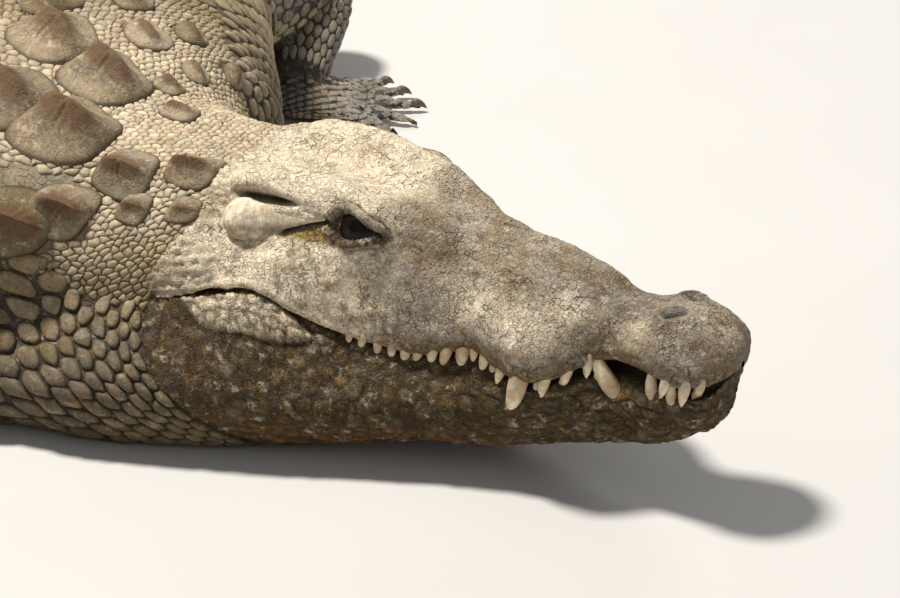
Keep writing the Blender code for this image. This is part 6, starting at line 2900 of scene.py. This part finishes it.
@dataclass(frozen=True)
class EyeFinish(Finish):
    """A brown iris painted near black for the shade under the lids, round an upright slit, under a wet
    surface.
    """

    name: str = "eyeball"

    def material(self) -> bpy.types.Material:
        """Build the material on the piece's own unwrap.

        Returns:
            The material.
        """
        made, nodes, shader = self.start()
        split = nodes.add("ShaderNodeSeparateXYZ")
        nodes.feed(split.inputs[0], nodes.add("ShaderNodeUVMap", uv_map="iris").outputs["UV"])
        across, above = (nodes.maths("SUBTRACT", split.outputs[k], 0.5) for k in (0, 1))
        risen = nodes.times(above, above)
        reach = nodes.maths("SQRT", nodes.maths("ADD", nodes.times(across, across), risen))
        slit = nodes.maths("ADD", nodes.maths("ABSOLUTE", across), nodes.times(risen, 0.55))
        fibre = nodes.noise(nodes.here(), 900.0, 3.0, 0.7)
        # painted shade: the iris and the ball round it near black
        iris = nodes.mix(nodes.step(fibre, 0.35, 0.65), (0.004, 0.003, 0.002, 1), (0.010, 0.006, 0.003, 1))
        tone = nodes.mix(nodes.step(slit, 0.045, 0.075), (0.002, 0.002, 0.002, 1), iris)
        tone = nodes.mix(nodes.step(reach, 0.36, 0.42), tone, (0.010, 0.006, 0.004, 1))
        nodes.dress(shader, tone, nodes.step(fibre, 0.3, 0.7, 0.16, 0.24))
        shader.inputs["Coat Weight"].default_value = 0.08
        shader.inputs["Coat Roughness"].default_value = 0.05
        shader.inputs["Specular IOR Level"].default_value = 0.12
        return made


@dataclass(frozen=True)
class ClawFinish(Finish):
    """Dark worn horn."""

    name: str = "claw horn"

    def material(self) -> bpy.types.Material:
        """Build the material.

        Returns:
            The material.
        """
        made, nodes, shader = self.start()
        streak = nodes.step(nodes.noise(nodes.here(), 260.0, 4.0, 0.6), 0.35, 0.65)
        tone = nodes.mix(streak, (0.070, 0.055, 0.042, 1), (0.160, 0.128, 0.095, 1))
        worn = nodes.times(nodes.step(nodes.attribute("share"), 0.75, 1.0), 0.5)
        tone = nodes.mix(worn, tone, (0.24, 0.18, 0.11, 1))
        nodes.dress(shader, tone, nodes.step(streak, 0.0, 1.0, 0.38, 0.55), streak, 0.0003)
        return made


@dataclass(frozen=True)
class FloorFinish(Finish):
    """A plain pale floor."""

    name: str = "plain floor"

    def material(self) -> bpy.types.Material:
        """Build the material.

        Returns:
            The material.
        """
        made, nodes, shader = self.start()
        share = nodes.step(nodes.noise(nodes.here(), 3.0), 0.3, 0.7, 0.0, 1.0)
        tone = nodes.mix(share, (0.56, 0.55, 0.535, 1), (0.575, 0.565, 0.55, 1))
        nodes.dress(shader, tone, 0.8)
        return made


# ---------------------------------------------------------------- the room
@dataclass
class Studio:
    """Camera, floor and lights."""

    azimuth: float = -10.32
    elevation: float = 26.91
    distance: float = 7.0
    lens: float = 142.3
    aim: tuple = (0.354, 0.0, 0.188)

    def camera(self) -> None:
        """Place the camera at the height and turn of an onlooker by the head."""
        turn = Matrix.Rotation(math.radians(self.azimuth), 3, "Z")
        target = turn @ Vector(self.aim) * HEAD + Vector((*SPINE.origin, 0))
        lift = math.radians(self.elevation)
        back = turn @ Vector((0, -math.cos(lift), math.sin(lift)))
        data = bpy.data.cameras.new("camera")
        data.lens = self.lens
        data.sensor_width = 36
        data.clip_end = 100
        made = linked("camera", data)
        made.location = target + back * self.distance * HEAD
        made.rotation_euler = back.to_track_quat("Z", "Y").to_euler()
        bpy.context.scene.camera = made

    def floor(self) -> None:
        """Lay a plain pale floor."""
        bm = bmesh.new()
        bmesh.ops.create_grid(bm, x_segments=1, y_segments=1, size=14)
        mesh = mesh_of("floor", bm, smooth=False)
        made = linked("floor", mesh)
        mesh.materials.append(FloorFinish().material())

    def light(self, name: str, place: tuple, size: float, power: float, tint: tuple) -> None:
        """Hang an area light that faces the head.

        Args:
            name: The light's name.
            place: Where it hangs.
            size: Its width in metres.
            power: Its power in watts.
            tint: Its colour.
        """
        data = bpy.data.lights.new(name, "AREA")
        data.shape = "DISK"
        data.size = size
        data.energy = power
        data.color = tint
        made = linked(name, data)
        made.location = place
        target = Vector((0.0, -0.9, 0.1))
        made.rotation_euler = (Vector(place) - target).to_track_quat("Z", "Y").to_euler()

    def build(self) -> None:
        """Set up the whole room."""
        self.camera()
        self.floor()
        self.light("key", (-1.25, -0.45, 4.2), 0.7, 298, (1.0, 0.955, 0.885))
        self.light("fill", (2.6, -4.6, 2.2), 3.0, 20, (1.0, 0.98, 0.94))
        self.light("rim", (2.8, 2.6, 3.0), 2.0, 60, (1.0, 0.98, 0.95))
        world = bpy.data.worlds.new("room")
        world.use_nodes = True
        background = world.node_tree.nodes["Background"]
        background.inputs["Color"].default_value = (0.88, 0.89, 0.90, 1)
        background.inputs["Strength"].default_value = 0.29
        bpy.context.scene.world = world
        bpy.context.scene.view_settings.view_transform = "Standard"


# ---------------------------------------------------------------- the whole animal
HEAD_NODES = ("head", "lower_jaw")
BODY_NODES = (
    "neck", "trunk_chest", "trunk_belly", "trunk_hips", "tail_base", "tail_middle", "tail_end", "tail_tip",
    "arm_upper_left", "arm_upper_right", "forearm_left", "forearm_right", "hand_left", "hand_right",
    "thigh_left", "thigh_right", "shank_left", "shank_right", "foot_left", "foot_right",
)


def main() -> None:
    """Build every piece in order."""
    logging.basicConfig(level=logging.INFO, format="%(message)s")
    head_form = HeadForm()
    body_form = BodyForm(head_form)
    markings = Markings()
    detail = HideDetail()
    head_finish = HideFinish(
        "head hide", crack_size=190.0, crack_and_shade=0.36, pores=0.50, flakes=0.45, creases=0.95, depth=0.0026
    ).material(detail)
    head = mesh_of("head_hide", HeadSkin(form=head_form).build(markings))
    piece("head_hide", head, head_finish, HEAD_NODES)
    mesh = BodySkin(body_form).build()
    hide_tree = BVHTree.FromPolygons([v.co[:] for v in mesh.vertices], [p.vertices[:] for p in mesh.polygons])
    coats = ScaleCoats(body_form, markings, hide_tree)
    paint(mesh, "hue", coats.under(mesh))
    paint(mesh, "crack_and_shade", np.zeros(len(mesh.vertices)))
    piece("body_hide", mesh, HideFinish("body hide").material(detail), BODY_NODES)
    scale_finish = HideFinish(
        "scales", crack_and_shade=0.10, pores=0.55, flakes=0.15, creases=0.30, depth=0.0008
    ).material(detail)
    plate_finish = PlateFinish("back plates").material(detail)
    limbs, feet = coats.legs()
    for name, coat, finish in (
        ("neck_scales", coats.neck(), scale_finish), ("nape_scales", coats.nape(), scale_finish),
        ("flank_scales_front", coats.trunk(NECK_END, TRUNK_MIDDLE, 73), scale_finish),
        ("flank_scales_rear", coats.trunk(TRUNK_MIDDLE, 1.11, 74), scale_finish),
        ("back_plates", coats.dorsal(), plate_finish), ("tail_scales", coats.tail(), scale_finish),
        ("leg_scales", limbs, scale_finish), ("foot_scales", feet, scale_finish),
        ("neck_plates", NeckPlates(coats).build(), plate_finish),
    ):
        LOG.info("%s: %d scales", name, coat.count())
        piece(name, coat.mesh(name), finish)
    piece("tail_crest", TailCrest().build(coats), plate_finish)
    wet = EyeFinish().material()
    lid = HideFinish(
        "ear lid hide", crack_and_shade=0.1, pores=0.1, flakes=0.2, creases=0.35, depth=0.0008
    ).material(detail)
    for side, label in ((1, "left"), (-1, "right")):
        eyeball = piece(f"eyeball_{label}", Eye(side).build(), wet, (f"eye_{label}",))
        piece(f"ear_lid_{label}", EarLid(side).build(markings), lid, (f"ear_{label}",))
    for name, mesh, finish in (
        ("teeth", Teeth(head_form).build(), ToothFinish().material()),
        ("claws", Claws().build(), ClawFinish().material()),
    ):
        piece(name, mesh, finish)
    Studio().build()


if __name__ == "__main__":
    main()
